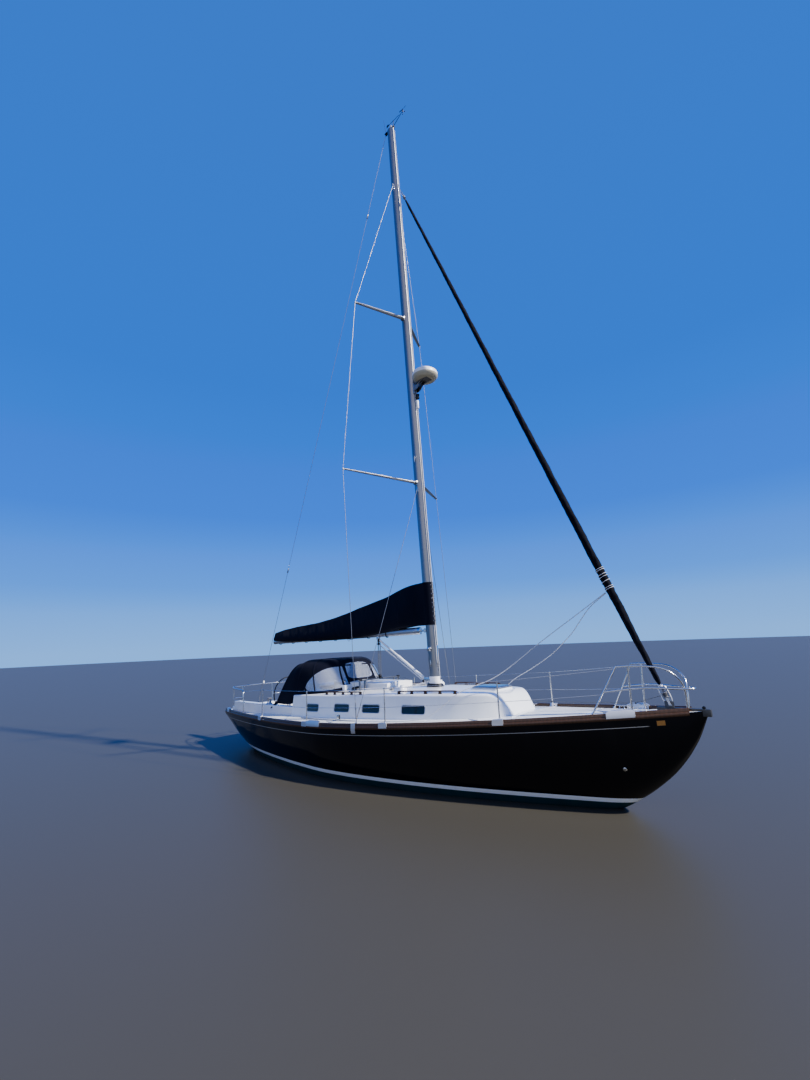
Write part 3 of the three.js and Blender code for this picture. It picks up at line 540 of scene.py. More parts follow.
def build_teak(n, given, result):
    """Long grain along a direction, darker pores and planks' tone."""
    where = n.node("Mapping", {"Vector": given["Vector"], "Scale": given["Stretch"]}).outputs[0]
    warp = n.noise(where, 2.2, 3)
    grain = n.noise(where, 26, 5, 0.65)
    rings = n.node("TexWave", {"Vector": where, "Scale": 5.5, "Distortion": 7.0, "Detail": 3.0}).outputs["Fac"]
    pore = n.ramp(n.noise(where, 90, 2), 0.58, 0.7)
    tone = n.plus(n.times(grain, 0.6), n.times(rings, 0.4))
    wood = n.mix(tone, given["Dark"], given["Light"])
    wood = n.mix(n.times(pore, 0.5), wood, given["Dark"])
    n.feed(result["Color"], n.mix(n.times(warp, given["Grey"]), wood, (0.33, 0.3, 0.26, 1)))
    n.feed(result["Height"], n.math("SUBTRACT", n.times(grain, 0.6), n.times(pore, 0.5)))


teak_grain = group(
    "Teak grain",
    [
        ("Vector", VECTOR, None),
        ("Stretch", VECTOR, (1, 14, 14)),
        ("Dark", COLOR, (0.13, 0.05, 0.018, 1)),
        ("Light", COLOR, (0.42, 0.2, 0.08, 1)),
        ("Grey", FLOAT, 0.35),
    ],
    [("Color", COLOR), ("Height", FLOAT)],
    build_teak,
)


def build_weave(n, given, result):
    """Two crossing sets of threads on the cloth's own map, with faded folds."""
    warp = n.node("TexWave", {"Vector": given["Vector"], "Scale": given["Threads"]}, bands_direction="X")
    weft = n.node("TexWave", {"Vector": given["Vector"], "Scale": given["Threads"]}, bands_direction="Y")
    threads = n.math("MAXIMUM", warp.outputs["Fac"], weft.outputs["Fac"])
    fade = n.noise(given["Vector"], 2.5, 5, 0.6)
    fine = n.noise(given["Vector"], 60, 2)
    share = n.plus(n.times(fade, given["Fade"]), n.times(threads, 0.12))
    n.feed(result["Color"], n.mix(share, given["Color"], given["Faded"]))
    n.feed(result["Height"], n.plus(n.times(threads, 0.8), n.times(fine, 0.4)))


weave = group(
    "Canvas weave",
    [
        ("Vector", VECTOR, None),
        ("Color", COLOR, (0.01, 0.015, 0.05, 1)),
        ("Faded", COLOR, (0.03, 0.045, 0.12, 1)),
        ("Fade", FLOAT, 0.6),
        ("Threads", FLOAT, 180.0),
    ],
    [("Color", COLOR), ("Height", FLOAT)],
    build_weave,
)


def build_brushed(n, given, result):
    """Fine drawn lines and a little tarnish on metal."""
    where = n.node("TexCoord").outputs["Object"]
    lines = n.noise(where, 60, 3, 0.6, given["Stretch"])
    tarnish = n.noise(where, 3.5, 4)
    n.feed(result["Color"], n.mix(n.times(tarnish, given["Tarnish"]), given["Color"], given["Dull"]))
    n.feed(result["Roughness"], n.plus(given["Roughness"], n.times(lines, 0.14)))
    n.feed(result["Height"], lines)


brushed = group(
    "Drawn metal",
    [
        ("Color", COLOR, (0.6, 0.61, 0.62, 1)),
        ("Dull", COLOR, (0.25, 0.24, 0.22, 1)),
        ("Stretch", VECTOR, (12, 12, 1)),
        ("Roughness", FLOAT, 0.16),
        ("Tarnish", FLOAT, 0.25),
    ],
    [("Color", COLOR), ("Roughness", FLOAT), ("Height", FLOAT)],
    build_brushed,
)


def material(name, **constants):
    """A new material, its Principled shader's plain values set, and the helper on its tree."""
    made = bpy.data.materials.new(name)
    made.use_nodes = True
    shader = made.node_tree.nodes["Principled BSDF"]
    for key, value in constants.items():
        shader.inputs[key.replace("_", " ")].default_value = value
    return made, shader, Nodes(made.node_tree)


def use_group(n, tree, **inputs):
    made = n.tree.nodes.new("ShaderNodeGroup")
    made.node_tree = tree
    for key, value in inputs.items():
        n.feed(made.inputs[key.replace("_", " ")], value)
    return made.outputs


def bump(n, shader, height, distance, strength=0.6):
    made = n.node("Bump", {"Height": height, "Distance": distance, "Strength": strength})
    n.feed(shader.inputs["Normal"], made.outputs[0])


def finished(made, shader, n, out, relief, strength=0.6):
    """Joins a group's results to the material's shader."""
    n.feed(shader.inputs["Base Color"], out["Color"])
    if "Roughness" in out:
        n.feed(shader.inputs["Roughness"], out["Roughness"])
    bump(n, shader, out["Height"], relief, strength)
    return made


def painted(name, color, rough, amount=0.1, dirt=0.1, fine=220.0, relief=0.0006, **constants):
    made, shader, n = material(name, **constants)
    out = use_group(n, weathering, Color=color, Roughness=rough, Amount=amount, Dirt=dirt, Fine=fine)
    return finished(made, shader, n, out, relief, 0.35)


def metal(name, color, rough, stretch=(12, 12, 1), tarnish=0.25, relief=0.0002, **constants):
    made, shader, n = material(name, Metallic=1.0, **constants)
    out = use_group(n, brushed, Color=color, Roughness=rough, Stretch=stretch, Tarnish=tarnish)
    return finished(made, shader, n, out, relief, 0.3)


def teak(name, stretch=(1, 14, 14), grey=0.35, dark=(0.13, 0.05, 0.018), light=(0.42, 0.2, 0.08), rough=0.6):
    made, shader, n = material(name, Roughness=rough)
    where = n.node("TexCoord").outputs["Object"]
    out = use_group(n, teak_grain, Vector=where, Stretch=stretch, Grey=grey, Dark=dark, Light=light)
    return finished(made, shader, n, out, 0.0012)


def canvas(name, color, faded, fade=0.6, threads=180.0):
    made, shader, n = material(name, Roughness=0.85, Sheen_Weight=0.04, Specular_IOR_Level=0.2)
    where = n.node("UVMap").outputs[0]
    out = use_group(n, weave, Vector=where, Color=color, Faded=faded, Fade=fade, Threads=threads)
    return finished(made, shader, n, out, 0.0008)


def rope(name, color, fleck, turns=90.0):
    """Braid on a line's own map: u along it and v round it."""
    made, shader, n = material(name, Roughness=0.8, Sheen_Weight=0.2)
    where = n.node("UVMap").outputs[0]
    split = n.node("SeparateXYZ", {"Vector": where})
    along, across = split.outputs[:2]
    left = n.math("SINE", n.times(n.plus(along, across), turns * 6.283))
    right = n.math("SINE", n.times(n.math("SUBTRACT", along, across), turns * 6.283))
    braid = n.math("MAXIMUM", left, right)
    fleck_at = n.ramp(braid, 0.55, 0.9)
    n.feed(shader.inputs["Base Color"], n.mix(n.times(fleck_at, 0.55), color, fleck))
    bump(n, shader, braid, 0.001)
    return made


COVE_LINE = (0.145, 0.156)  # under the deck's edge
BOOT_TOP = (0.128, 0.198)  # above the water


def hull_finish():
    """Navy topsides with a thin silver line, a white boot top and dark antifouling below it."""
    made, shader, n = material("navy_topsides", Coat_Weight=0.25, Coat_Roughness=0.05, Specular_IOR_Level=0.25)
    where = n.node("TexCoord").outputs["Object"]
    z = n.node("SeparateXYZ", {"Vector": where}).outputs[2]
    along, under, _ = n.node("SeparateXYZ", {"Vector": n.node("UVMap").outputs[0]}).outputs
    paint = use_group(n, weathering, Color=(0.0014, 0.0018, 0.004), Roughness=0.1, Amount=0.35, Dirt=0.02, Fine=90.0)
    foul = use_group(
        n, weathering, Color=(
            0.012, 0.045, 0.055
        ), Roughness=0.75, Amount=0.6, Dirt=0.45, Dirt_color=(0.05, 0.075, 0.05)
    )
    line = n.band(under, *COVE_LINE)
    inside = n.band(along, -5.3, 5.05, 0.02)
    color = n.mix(n.times(line, inside), paint["Color"], (0.3, 0.29, 0.26, 1))
    dash = n.times(n.band(under, 0.085, 0.15), n.band(along, 5.15, 5.25, 0.002))
    color = n.mix(dash, color, (0.26, 0.14, 0.045, 1))
    stripe = n.band(z, *BOOT_TOP, 0.0015)
    color = n.mix(stripe, color, (0.78, 0.8, 0.8, 1))
    below = n.ramp(z, 0.1295, 0.1265)
    color = n.mix(below, color, foul["Color"])
    slime = n.noise(where, 9, 4, 0.6, (1, 1, 2.5))
    wet = n.ramp(z, 0.05, 0.0)
    color = n.mix(n.times(wet, n.times(slime, 0.6)), color, (0.03, 0.05, 0.03, 1))
    n.feed(shader.inputs["Base Color"], color)
    n.feed(shader.inputs["Roughness"], n.mix(below, paint["Roughness"], foul["Roughness"]))
    n.feed(shader.inputs["Coat Weight"], n.math("SUBTRACT", 0.25, n.times(below, 0.25)))
    bump(n, shader, paint["Height"], 0.0012, 0.12)
    return made


def grip_finish():
    """Moulded non-slip deck: small raised diamonds."""
    made, shader, n = material("grip_deck", Roughness=0.6)
    where = n.node("TexCoord").outputs["Object"]
    turned = n.node("Mapping", {"Vector": where, "Rotation": (0, 0, 0.785), "Scale": (1, 1, 0)}).outputs[0]
    a = n.node("TexWave", {"Vector": turned, "Scale": 42.0}, bands_direction="X").outputs["Fac"]
    b = n.node("TexWave", {"Vector": turned, "Scale": 42.0}, bands_direction="Y").outputs["Fac"]
    out = use_group(n, weathering, Color=(0.56, 0.58, 0.58), Roughness=0.6, Amount=0.25, Dirt=0.35)
    n.feed(shader.inputs["Base Color"], n.mix(n.times(a, b), out["Color"], (0.7, 0.71, 0.7, 1)))
    bump(n, shader, n.times(a, b), 0.0015, 0.8)
    return made


def glass_finish(name, color, through, rough=0.06):
    made, shader, n = material(name, Transmission_Weight=through, IOR=1.49, Coat_Weight=0.4)
    where = n.node("TexCoord").outputs["Object"]
    haze = n.noise(where, 2.0, 4)
    n.feed(shader.inputs["Base Color"], n.mix(n.times(haze, 0.35), color, tuple(c * 1.8 for c in color)))
    n.feed(shader.inputs["Roughness"], n.plus(rough, n.times(n.noise(where, 40, 3), 0.05)))
    return made


white = painted("white_gelcoat", (0.74, 0.76, 0.77), 0.22, 0.08, 0.12, Coat_Weight=0.3, Coat_Roughness=0.1)
# the radar's underside: beige, darker than the dome's white as painted shade under the dome
underside_beige_shade = painted("beige_underside_painted_shade", (0.5, 0.47, 0.37), 0.4, 0.1, 0.1)
dome_white = painted("dome_white", (0.8, 0.8, 0.79), 0.35, 0.05, 0.05)
black_plastic = painted("black_plastic", (0.012, 0.012, 0.013), 0.42, 0.2, 0.05, 400.0)
grey_plastic = painted("grey_plastic", (0.2, 0.2, 0.21), 0.5, 0.15, 0.1)
red_paint = painted("engine_red", (0.35, 0.03, 0.02), 0.4, 0.2, 0.3)
fouling = painted("antifouling", (0.012, 0.045, 0.055), 0.78, 0.6, 0.4, 160.0, 0.0012)
steel = metal("stainless", (0.63, 0.64, 0.65), 0.14)
wire = metal("wire_rope", (0.33, 0.33, 0.34), 0.34, (40, 40, 3), 0.4, 0.0006)
# the mast's anodised metal, darker than the boom's: painted shade on the mast and the fittings that share it
spar = metal("anodised_spar_shade_darkened", (0.28, 0.28, 0.285), 0.3, (30, 30, 0.4), 0.2)
spar_along = metal("anodised_boom", (0.5, 0.51, 0.53), 0.34, (0.4, 30, 30), 0.2)
bronze = metal("bronze", (0.42, 0.25, 0.09), 0.3, (8, 8, 8), 0.6)
# teak of the toe rails, handrails and bow deck: weathered varnished teak, darkened further as painted shade
teak_rail_shade_darkened = teak("teak_rail_shade_darkened", grey=0.06, dark=(0.024, 0.01, 0.004), light=(0.105, 0.048, 0.018), rough=0.3)
teak_deck = teak("teak_deck", grey=0.6, dark=(0.16, 0.09, 0.045), light=(0.4, 0.26, 0.15))
teak_board = teak("teak_board", stretch=(14, 1, 14), grey=0.1, rough=0.35)
navy_canvas = canvas("navy_canvas", (0.0014, 0.0022, 0.009), (0.004, 0.0062, 0.021))
navy_strip = canvas("navy_sail_strip", (0.0012, 0.0018, 0.007), (0.0035, 0.005, 0.015), 0.5, 240.0)
white_line = rope("white_line", (0.72, 0.71, 0.67, 1), (0.25, 0.3, 0.5, 1))
dark_line = rope("dark_line", (0.03, 0.035, 0.05, 1), (0.3, 0.3, 0.3, 1))
smoked = glass_finish("smoked_acrylic", (0.03, 0.034, 0.038), 0.25)
pane = glass_finish("cabin_glass", (0.006, 0.008, 0.008), 0.05)
topsides, grip = hull_finish(), grip_finish()
black_leather = painted("black_leather", (0.014, 0.014, 0.015), 0.55, 0.25, 0.05, 260.0, 0.0012)
navy_binding = canvas("navy_binding", (0.0018, 0.003, 0.012), (0.006, 0.009, 0.03), 0.7, 300.0)
navy_thread = painted("navy_thread", (0.01, 0.015, 0.04), 0.7, 0.1, 0.1)
vinyl = glass_finish("clear_vinyl", (0.62, 0.66, 0.74), 0.8, 0.1)
dull = metal("weathered_steel", (0.1, 0.1, 0.1), 0.45, (8, 8, 8), 0.5)
cast = metal("cast_steel", (0.74, 0.74, 0.75), 0.36, (6, 6, 6), 0.15)
white_thread = painted("white_thread", (0.6, 0.6, 0.57), 0.8, 0.1, 0.1)


# Stage: plain floor at the waterline, sun and clear sky as in the photograph
SKY = (
    # height, colour from the horizon up
    (0.0, (0.24, 0.5, 0.98)),
    (0.12, (0.13, 0.38, 0.98)),
    (0.26, (0.058, 0.235, 0.9)),
    (0.5, (0.048, 0.19, 0.74)),
    (1.0, (0.055, 0.18, 0.64)),
)
SUNS = (
    # name, strength, angle, colour, direction of its light: ahead to port, and soft and warm from starboard
    ("key", 7.0, 0.03, (1.0, 0.94, 0.83), (-1.0, -0.25, -0.85)),
    ("bounce", 0.8, 1.3, (1.0, 0.84, 0.42), (-0.3, 1.0, -0.35)),
)


def set_stage():
    floor = Shape()
    sides, reach = 96, 150
    floor.put([(reach * cos(a), reach * sin(a), 0) for a in around(sides)], [tuple(range(sides))])
    plain = painted("floor", (0.07, 0.065, 0.052), 0.45, 0.03, 0.0, Specular_IOR_Level=0.35)
    floor.object("floor", plain)
    world = bpy.data.worlds.new("studio")
    world.use_nodes = True
    n = Nodes(world.node_tree)
    up = n.node("SeparateXYZ", {"Vector": n.node("TexCoord").outputs["Generated"]}).outputs[2]
    sky = world.node_tree.nodes["Background"]
    color = SKY[0][1]
    for height, upper in SKY[1:]:
        share = n.ramp(up, height * 0.5 - 0.06, height)
        color = n.mix(share, color, upper)
    n.feed(sky.inputs["Color"], color)
    sky.inputs["Strength"].default_value = 1.0
    scene.world = world
    scene.view_settings.look = "AgX - Medium High Contrast"

    for name, energy, angle, color, away in SUNS:
        sun = bpy.data.lights.new(name, "SUN")
        sun.energy, sun.angle, sun.color = energy, angle, color
        holder = linked(name, sun)
        holder.rotation_euler = Vector(away).to_track_quat("-Z", "Y").to_euler()


set_stage()


# Hull
def hull_loft(name, grow, xs, lift, deep=0.0):
    rings = []
    ts = (pi / 2) * (np.linspace(0, 1, 27)) ** 1.5
    for x in xs:
        keel = smooth_row(STATIONS, 1, x) - grow + deep
        full = smooth_row(STATIONS, 2, x)
        half = max(half_beam(x) + grow, 0.002)
        top = sheer(x) - 0.004 + lift
        side = [(x, half * sin(t) ** full, keel + max(top - keel, 0.004) * (1 - cos(t))) for t in ts]
        rings.append([*reversed(side), *[(x, -y, z) for _, y, z in side[1:]]])
    return Shape().loft(rings).object(name, topsides, angle=50)


def map_along_sheer(made):
    """The hull's own map: u along it and v the distance under the deck's edge."""
    uv = made.data.uv_layers.new(name="UVMap")
    points = [made.data.vertices[loop.vertex_index].co for loop in made.data.loops]
    uv.data.foreach_set("uv", [c for p in points for c in (p.x, sheer(p.x) - p.z)])


def make_hull():
    xs = np.concatenate([np.linspace(STERN, 4.3, 96), np.linspace(4.36, 5.751, 46)])
    hull = hull_loft("hull_shell", 0.0, xs, 0.0)
    cut(hull, hull_loft("hull_room", -0.045, np.linspace(-5.7, 5.4, 90), 0.2, 0.015))
    smooth(hull, 50)
    map_along_sheer(hull)
    settle(hull, "hull", "hull")
    # drain on the starboard bow, and the exhaust in the transom
    fittings = Shape()
    place = (4.666, -hull_side(4.666, 0.638), 0.638)
    fittings.turned(mm(0, 6, 20, 6, 28, 0, 28, -12), place, (0.35, -1, -0.35), 20)
    fittings.turned(mm(0, -30, 34, -30, 36, 14, 45, 14, 48, -10), (STERN, 0.45, 0.66), (-1, 0, 0), 24)
    fittings.piece("skin_fittings", steel)


def hull_side(x, z):
    """Half-width of the hull at a height."""
    keel, full = smooth_row(STATIONS, 1, x), smooth_row(STATIONS, 2, x)
    share = (z - keel) / (sheer(x) - 0.004 - keel)
    return half_beam(x) * sin(acos(max(-1, min(1, 1 - share)))) ** full


make_hull()


# Deck with its non-slip panels and toe rails
def deck_slab(rows, lift, thick, steps):
    """A slab that follows the deck's camber, from rows of x and half-width."""
    rings = []
    for x, half in rows:
        top = [(x, y, deck_top(x, y) + lift) for y in np.linspace(-half, half, steps + 1)]
        rings.append(top + [(x, y, z - thick) for _, y, z in reversed(top)])
    return Shape().loft(rings)


def prism(name, outline, low, high):
    made = Shape().loft([[(x, y, low) for x, y in outline], [(x, y, high) for x, y in outline]])
    return made.object(name)


def roof_outline(inset, start, end):
    xs = np.linspace(start, end, 30)
    line = [(x, roof_at(x)[0] - inset) for x in xs]
    return line + [(x, -y) for x, y in reversed(line)]


def make_deck():
    xs = [*np.linspace(-5.735, 4.8, 70), *np.linspace(4.9, 5.69, 12)]
    deck = deck_slab([(x, max(half_beam(x) - 0.012, 0.01)) for x in xs], 0.0, DECK_THICK, 12)
    deck = deck.object("deck_moulding", white)
    cut(
        deck,
        prism("cabin_cut", roof_outline(0.07, -2.29, 2.73), 0.5, 2),
        prism("tub_cut", [(-5.081, -0.901), (-2.349, -0.901), (-2.349, 0.901), (-5.081, 0.901)], 0.5, 2),
    )
    settle(smooth(deck), "gelcoat", "deck")


make_deck()


def grip_panel(made, side, xs, inner, outer):
    """One thin raised non-slip panel between two lines along the deck."""
    steps, rings = 6, []
    for x in xs:
        a, b = inner(x), outer(x)
        ys = [side * (a + (b - a) * k / steps) for k in range(steps + 1)]
        up = [(x, y, deck_top(x, y) + 0.0022) for y in ys]
        rings.append(up + [(x, y, z - 0.004) for _, y, z in reversed(up)])
    made.loft(rings)


def make_grip():
    made = Shape()
    rail = lambda x: half_beam(x) - 0.11
    side_runs = [(-4.95, -4.0), (-3.92, -2.45), (-2.3, -1.15), (-1.07, 0.1), (0.66, 1.6), (1.68, 2.55)]
    for side in (1, -1):
        for start, end in side_runs:
            inner = (lambda x: 1.1) if end < -2.3 else (lambda x: roof_at(x)[0] + 0.06)
            grip_panel(made, side, np.linspace(start, end, 14), inner, rail)
        grip_panel(made, side, np.linspace(3.1, 4.15, 12), lambda x: 0.035, rail)
        grip_panel(made, side, np.linspace(4.22, 4.75, 8), lambda x: 0.035, rail)
        grip_panel(made, side, np.linspace(-5.6, -5.24, 5), lambda x: 0.04, lambda x: half_beam(x) - 0.13)
    made.piece("grip_panels", grip, "gelcoat")


make_grip()


def rail_line(x, side, across, up):
    outer = max(half_beam(x) - 0.004, 0.036)
    y = outer - across
    return (x, side * y, deck_top(x, outer) + 0.0016 + up)


def make_toe_rail(side, name):
    profile = mm(4, -50, -6, -50, -11, -42, -11, -6, -6, 2, 0, 6, 1, 46)
    profile += mm(6, 53, 14, 55, 22, 54, 29, 49, 32, 40, 33, 0, 10, 0)
    xs = np.concatenate([np.linspace(-5.7, 4.9, 70), np.linspace(5.0, 5.54, 10)])
    rings = [[rail_line(x, side, a, u) for a, u in profile] for x in xs]
    Shape().loft(rings).piece(f"teak_rail_{name}", teak_rail_shade_darkened, "teak", f"toe_rail_{name}")


for side, word in SIDES:
    make_toe_rail(side, word)


# Coachroof
def roof_ring(x, grow=0.0, low=0.98):
    half, edge, crown = roof_at(x)
    foot, head = half + grow, half - ROOF_LEAN + grow
    base = sheer(x) - 0.06
    side = [(foot, low + (-0.06 if grow < 0 else 0)), (foot, base)]
    side += [(foot + (head - foot) * t, base + (edge - 0.05 - base) * t + grow * t) for t in (0.35, 0.7, 1.0)]
    corner, top = (head, edge + grow), (head - 0.05, edge + grow + crown * (1 - ((head - 0.05) / head) ** 2))
    start = side[-1]
    for t in np.linspace(0.17, 0.83, 5):
        side.append(tuple((1 - t) ** 2 * start[i] + 2 * t * (1 - t) * corner[i] + t * t * top[i] for i in (0, 1)))
    for y in np.linspace(head - 0.05, 0, 9):
        side.append((y, edge + grow + crown * (1 - (y / head) ** 2)))
    return [(x, y, z) for y, z in side] + [(x, -y, z) for y, z in reversed(side[:-1])]


def rounded_rect(x0, x1, half, corner, steps=6):
    """Outline of a rectangle with rounded corners."""
    line = []
    corners = ((x1 - corner, 1, 0), (x0 + corner, 1, 90), (x0 + corner, -1, 180), (x1 - corner, -1, 270))
    for x, up, start in corners:
        for a in np.radians(np.linspace(start, start + 90, steps)):
            line.append((x + corner * cos(a), up * (half - corner) + corner * sin(a)))
    return line


def portlight_outline(entry, grow=0.0):
    x0, x1, middle = entry
    h = PORTLIGHT_HIGH / 2 + grow
    line = rounded_rect(x0 - grow, x1 + grow, h, 0.035 + grow)
    rise = 0.035
    return [(x, middle + z + rise * (x - (x0 + x1) / 2)) for x, z in line]


def portlight_ring(entry, side, grow, out):
    """A portlight's outline on the coachroof's side, grown and moved out."""
    return [(x, side * (roof_side(x, z) + out), z) for x, z in portlight_outline(entry, grow)]


def make_coachroof():
    xs = [*np.linspace(-2.35, 2.5, 46), *np.linspace(2.56, 2.98, 16)]
    roof = Shape().loft([roof_ring(x) for x in xs]).object("coachroof_moulding", white)
    inside = [*np.linspace(-2.318, 2.4, 30), *np.linspace(2.5, 2.85, 9)]
    tools = [Shape().loft([roof_ring(x, -0.032, 0.9) for x in inside]).object("roof_room")]
    floor = [(x, half_beam(x) + 0.05) for x in np.linspace(-2.6, 3.2, 60)]
    tools.append(deck_slab(floor, 0.0008, 0.7, 10).object("under_deck"))
    tools.append(Shape().block((-2.4, -0.3, 1.18), (-1.65, 0.3, 2), 0).object("way_down"))
    tools.append(Shape().block((2.09, -0.25, 1.5), (2.61, 0.25, 2), 0).object("hatch_cut"))
    for entry in PORTLIGHTS:
        outline = portlight_outline(entry)
        loft = [[(x, y, z) for x, z in outline] for y in (-1.4, 1.4)]
        tools.append(Shape().loft(loft).object("portlight_cut"))
    settle(smooth(cut(roof, *tools), 32), "gelcoat", "coachroof")


make_coachroof()


def make_portlights():
    """Anodised frames on the coachroof's sides with dark panes in them."""
    frames, panes = Shape(), Shape()
    section = mm(13, -4, 12, 6, 9, 8, 2, 8, -2, 5, -2, -30)
    for side in (1, -1):
        for entry in PORTLIGHTS:
            rings = [portlight_ring(entry, side, grow, out) for grow, out in section]
            frames.loft(rings + rings[:1], caps=False)
            panes.loft([portlight_ring(entry, side, 0.001, out) for out in (-0.012, -0.004)])
    frames.piece("portlight_frames", spar_along, "spar")
    panes.piece("portlight_panes", pane, "smoked")


make_portlights()


# Small items repeated along lines
def copies_tree():
    tree = bpy.data.node_groups.new("copies_along_lines", "GeometryNodeTree")
    for label, kind in (
        ("Lines", "NodeSocketGeometry"),
        ("Item", "NodeSocketObject"),
        ("Spacing", FLOAT),
        ("Finish", "NodeSocketMaterial"),
    ):
        tree.interface.new_socket(label, in_out="INPUT", socket_type=kind)
    tree.interface.new_socket("Made", in_out="OUTPUT", socket_type="NodeSocketGeometry")
    new, link = tree.nodes.new, tree.links.new
    given, made = new("NodeGroupInput"), new("NodeGroupOutput")
    curve, steps = new("GeometryNodeMeshToCurve"), new("GeometryNodeResampleCurve")
    steps.mode = "LENGTH"
    tangent, up = new("GeometryNodeInputTangent"), new("GeometryNodeInputNamedAttribute")
    up.data_type = "FLOAT_VECTOR"
    up.inputs["Name"].default_value = "up"
    ahead, upright = new("FunctionNodeAlignRotationToVector"), new("FunctionNodeAlignRotationToVector")
    ahead.axis, upright.axis, upright.pivot_axis = "X", "Z", "X"
    item, place = new("GeometryNodeObjectInfo"), new("GeometryNodeInstanceOnPoints")
    whole, finish = new("GeometryNodeRealizeInstances"), new("GeometryNodeSetMaterial")
    link(given.outputs["Lines"], curve.inputs[0])
    link(curve.outputs[0], steps.inputs["Curve"])
    link(given.outputs["Spacing"], steps.inputs["Length"])
    link(tangent.outputs[0], ahead.inputs["Vector"])
    link(ahead.outputs[0], upright.inputs["Rotation"])
    link(up.outputs["Attribute"], upright.inputs["Vector"])
    link(given.outputs["Item"], item.inputs["Object"])
    link(steps.outputs[0], place.inputs["Points"])
    link(item.outputs["Geometry"], place.inputs["Instance"])
    link(upright.outputs[0], place.inputs["Rotation"])
    link(place.outputs[0], whole.inputs[0])
    link(whole.outputs[0], finish.inputs["Geometry"])
    link(given.outputs["Finish"], finish.inputs["Material"])
    link(finish.outputs[0], made.inputs[0])
    return tree


copies = copies_tree()


def row_of(name, item, lines, spacing, finish):
    """Copies of item at even steps on lines; a line is its points and the way up at each."""
    points, edges, ups = [], [], []
    for line, up in lines:
        start = len(points)
        points += [tuple(p) for p in line]
        ups += [tuple(u) for u in (up if isinstance(up, list) else [up] * len(line))]
        edges += [(start + i, start + i + 1) for i in range(len(line) - 1)]
    mesh = bpy.data.meshes.new(name)
    mesh.from_pydata(points, edges, [])
    mesh.attributes.new("up", "FLOAT_VECTOR", "POINT").data.foreach_set("vector", [c for u in ups for c in u])
    made = linked(name, mesh)
    one = item.object(name + "_item", finish)
    change = made.modifiers.new("copies", "NODES")
    sockets = {s.name: s.identifier for s in copies.interface.items_tree if s.in_out == "INPUT"}
    change.node_group = copies
    change[sockets["Item"]], change[sockets["Spacing"]], change[sockets["Finish"]] = one, spacing, finish
    evaluated(made)
    bpy.data.objects.remove(one)
    return smooth(made, 40)


def screw_head(radius, high=0.002):
    return Shape().turned([(0, high), (radius * 0.7, high * 0.8), (radius, 0), (radius, -high)], (0, 0, 0), sides=10)


def stitch(length=0.006, thick=0.0011):
    return Shape().tube([(-length / 2, 0, 0), (0, 0, thick * 0.5), (length / 2, 0, 0)], thick, 5)


# Plugs in the toe rails and screws round the portlights
def make_plugs_and_screws():
    lines = []
    for side in (1, -1):
        line = [rail_line(x, side, 0.016, 0.0545) for x in np.linspace(-5.6, 5.45, 90)]
        lines.append((line, UP))
    settle(row_of("rail_plugs", screw_head(0.006, 0.0012), lines, 0.32, teak_board), "teak")
    lines = []
    for side in (1, -1):
        for entry in PORTLIGHTS:
            ring = portlight_ring(entry, side, 0.006, 0.0078)
            lines.append((ring + ring[:1], Vector((0, side, 0))))
    settle(row_of("portlight_screws", screw_head(0.0035), lines, 0.09, steel), "fittings")


make_plugs_and_screws()


# Cockpit
SEAT_TOP, SLAT_STEP = 0.8602, 0.0435


def slats(made, x0, x1, ys, z, wide=0.04, high=0.008):
    for y in ys:
        made.block((x0, y - wide / 2, z), (x1, y + wide / 2, z + high), 0.0015)


def make_cockpit():
    settle(softened("cockpit", "cockpit_moulding", 0.009, white, 3, 30, 0.05), "gelcoat", "cockpit")
    lip = Shape().block((-5.172, -1.032, 0.86), (-5.038, 1.032, 1.0245), 0.012)
    lip.piece("cockpit_stern_lip", white, "gelcoat")
    seats = Shape()
    for side in (1, -1):
        slats(seats, -4.75, -3.965, [side * y for y in np.arange(0.446, 0.825, SLAT_STEP)], SEAT_TOP)
        slats(seats, -3.94, -2.79, [side * 0.458], SEAT_TOP, 0.034)
    for x0, x1 in ((-5.045, -4.775), (-2.64, -2.37)):
        slats(seats, x0, x1, np.arange(-0.826, 0.83, SLAT_STEP), SEAT_TOP)
    seats.piece("seat_slats", teak_deck, "teak")
    grating = Shape()
    slats(grating, -4.74, -2.79, np.arange(-0.36, 0.361, 0.06), 0.4305, 0.026, 0.022)
    for x in np.arange(-4.71, -2.8, 0.06):
        if abs(x + 3.97) > 0.14 and abs(x + 3.84) > 0.05:
            grating.block((x - 0.011, -0.39, 0.4325), (x + 0.011, 0.39, 0.4505), 0)
    grating.piece("sole_grating", teak_deck, "teak")


def make_lids():
    for side, name in SIDES:
        node = f"locker_lid_{name}"
        settle(softened(node, f"seat_lid_{name}", 0.005, white), "gelcoat", node, body=node)
        seat = Shape()
        slats(seat, -3.935, -2.665, [side * y for y in np.arange(0.525, 0.8, SLAT_STEP)], SEAT_TOP + 0.024)
        seat.piece(f"lid_slats_{name}", teak_deck, "teak", body=node)
        latch = Shape()
        latch.block((-3.32, side * 0.508 - 0.012, 0.884), (-3.28, side * 0.508 + 0.012, 0.888), 0.002)
        latch.turned(mm(0, 7, 7, 6, 9, 0), (-3.3, side * 0.508, 0.888), sides=14)
        latch.piece(f"lid_latch_{name}", steel, body=node)


make_cockpit()
make_lids()


# Underwater parts
def foil_ring(front, back, z, thick, count=18):
    """A wing section between its nose and tail at one height."""
    long = front - back
    ts = 0.5 * (1 - np.cos(np.linspace(0, pi, count)))
    half = [thick / 2 * 2.6 * (1.1 * sqrt(t) - 0.45 * t - 0.65 * t * t) / 1.05 for t in ts]
    upper = [(front - t * long, h, z) for t, h in zip(ts, half)]
    return upper + [(x, -y, z) for x, y, _ in reversed(upper[1:-1])]


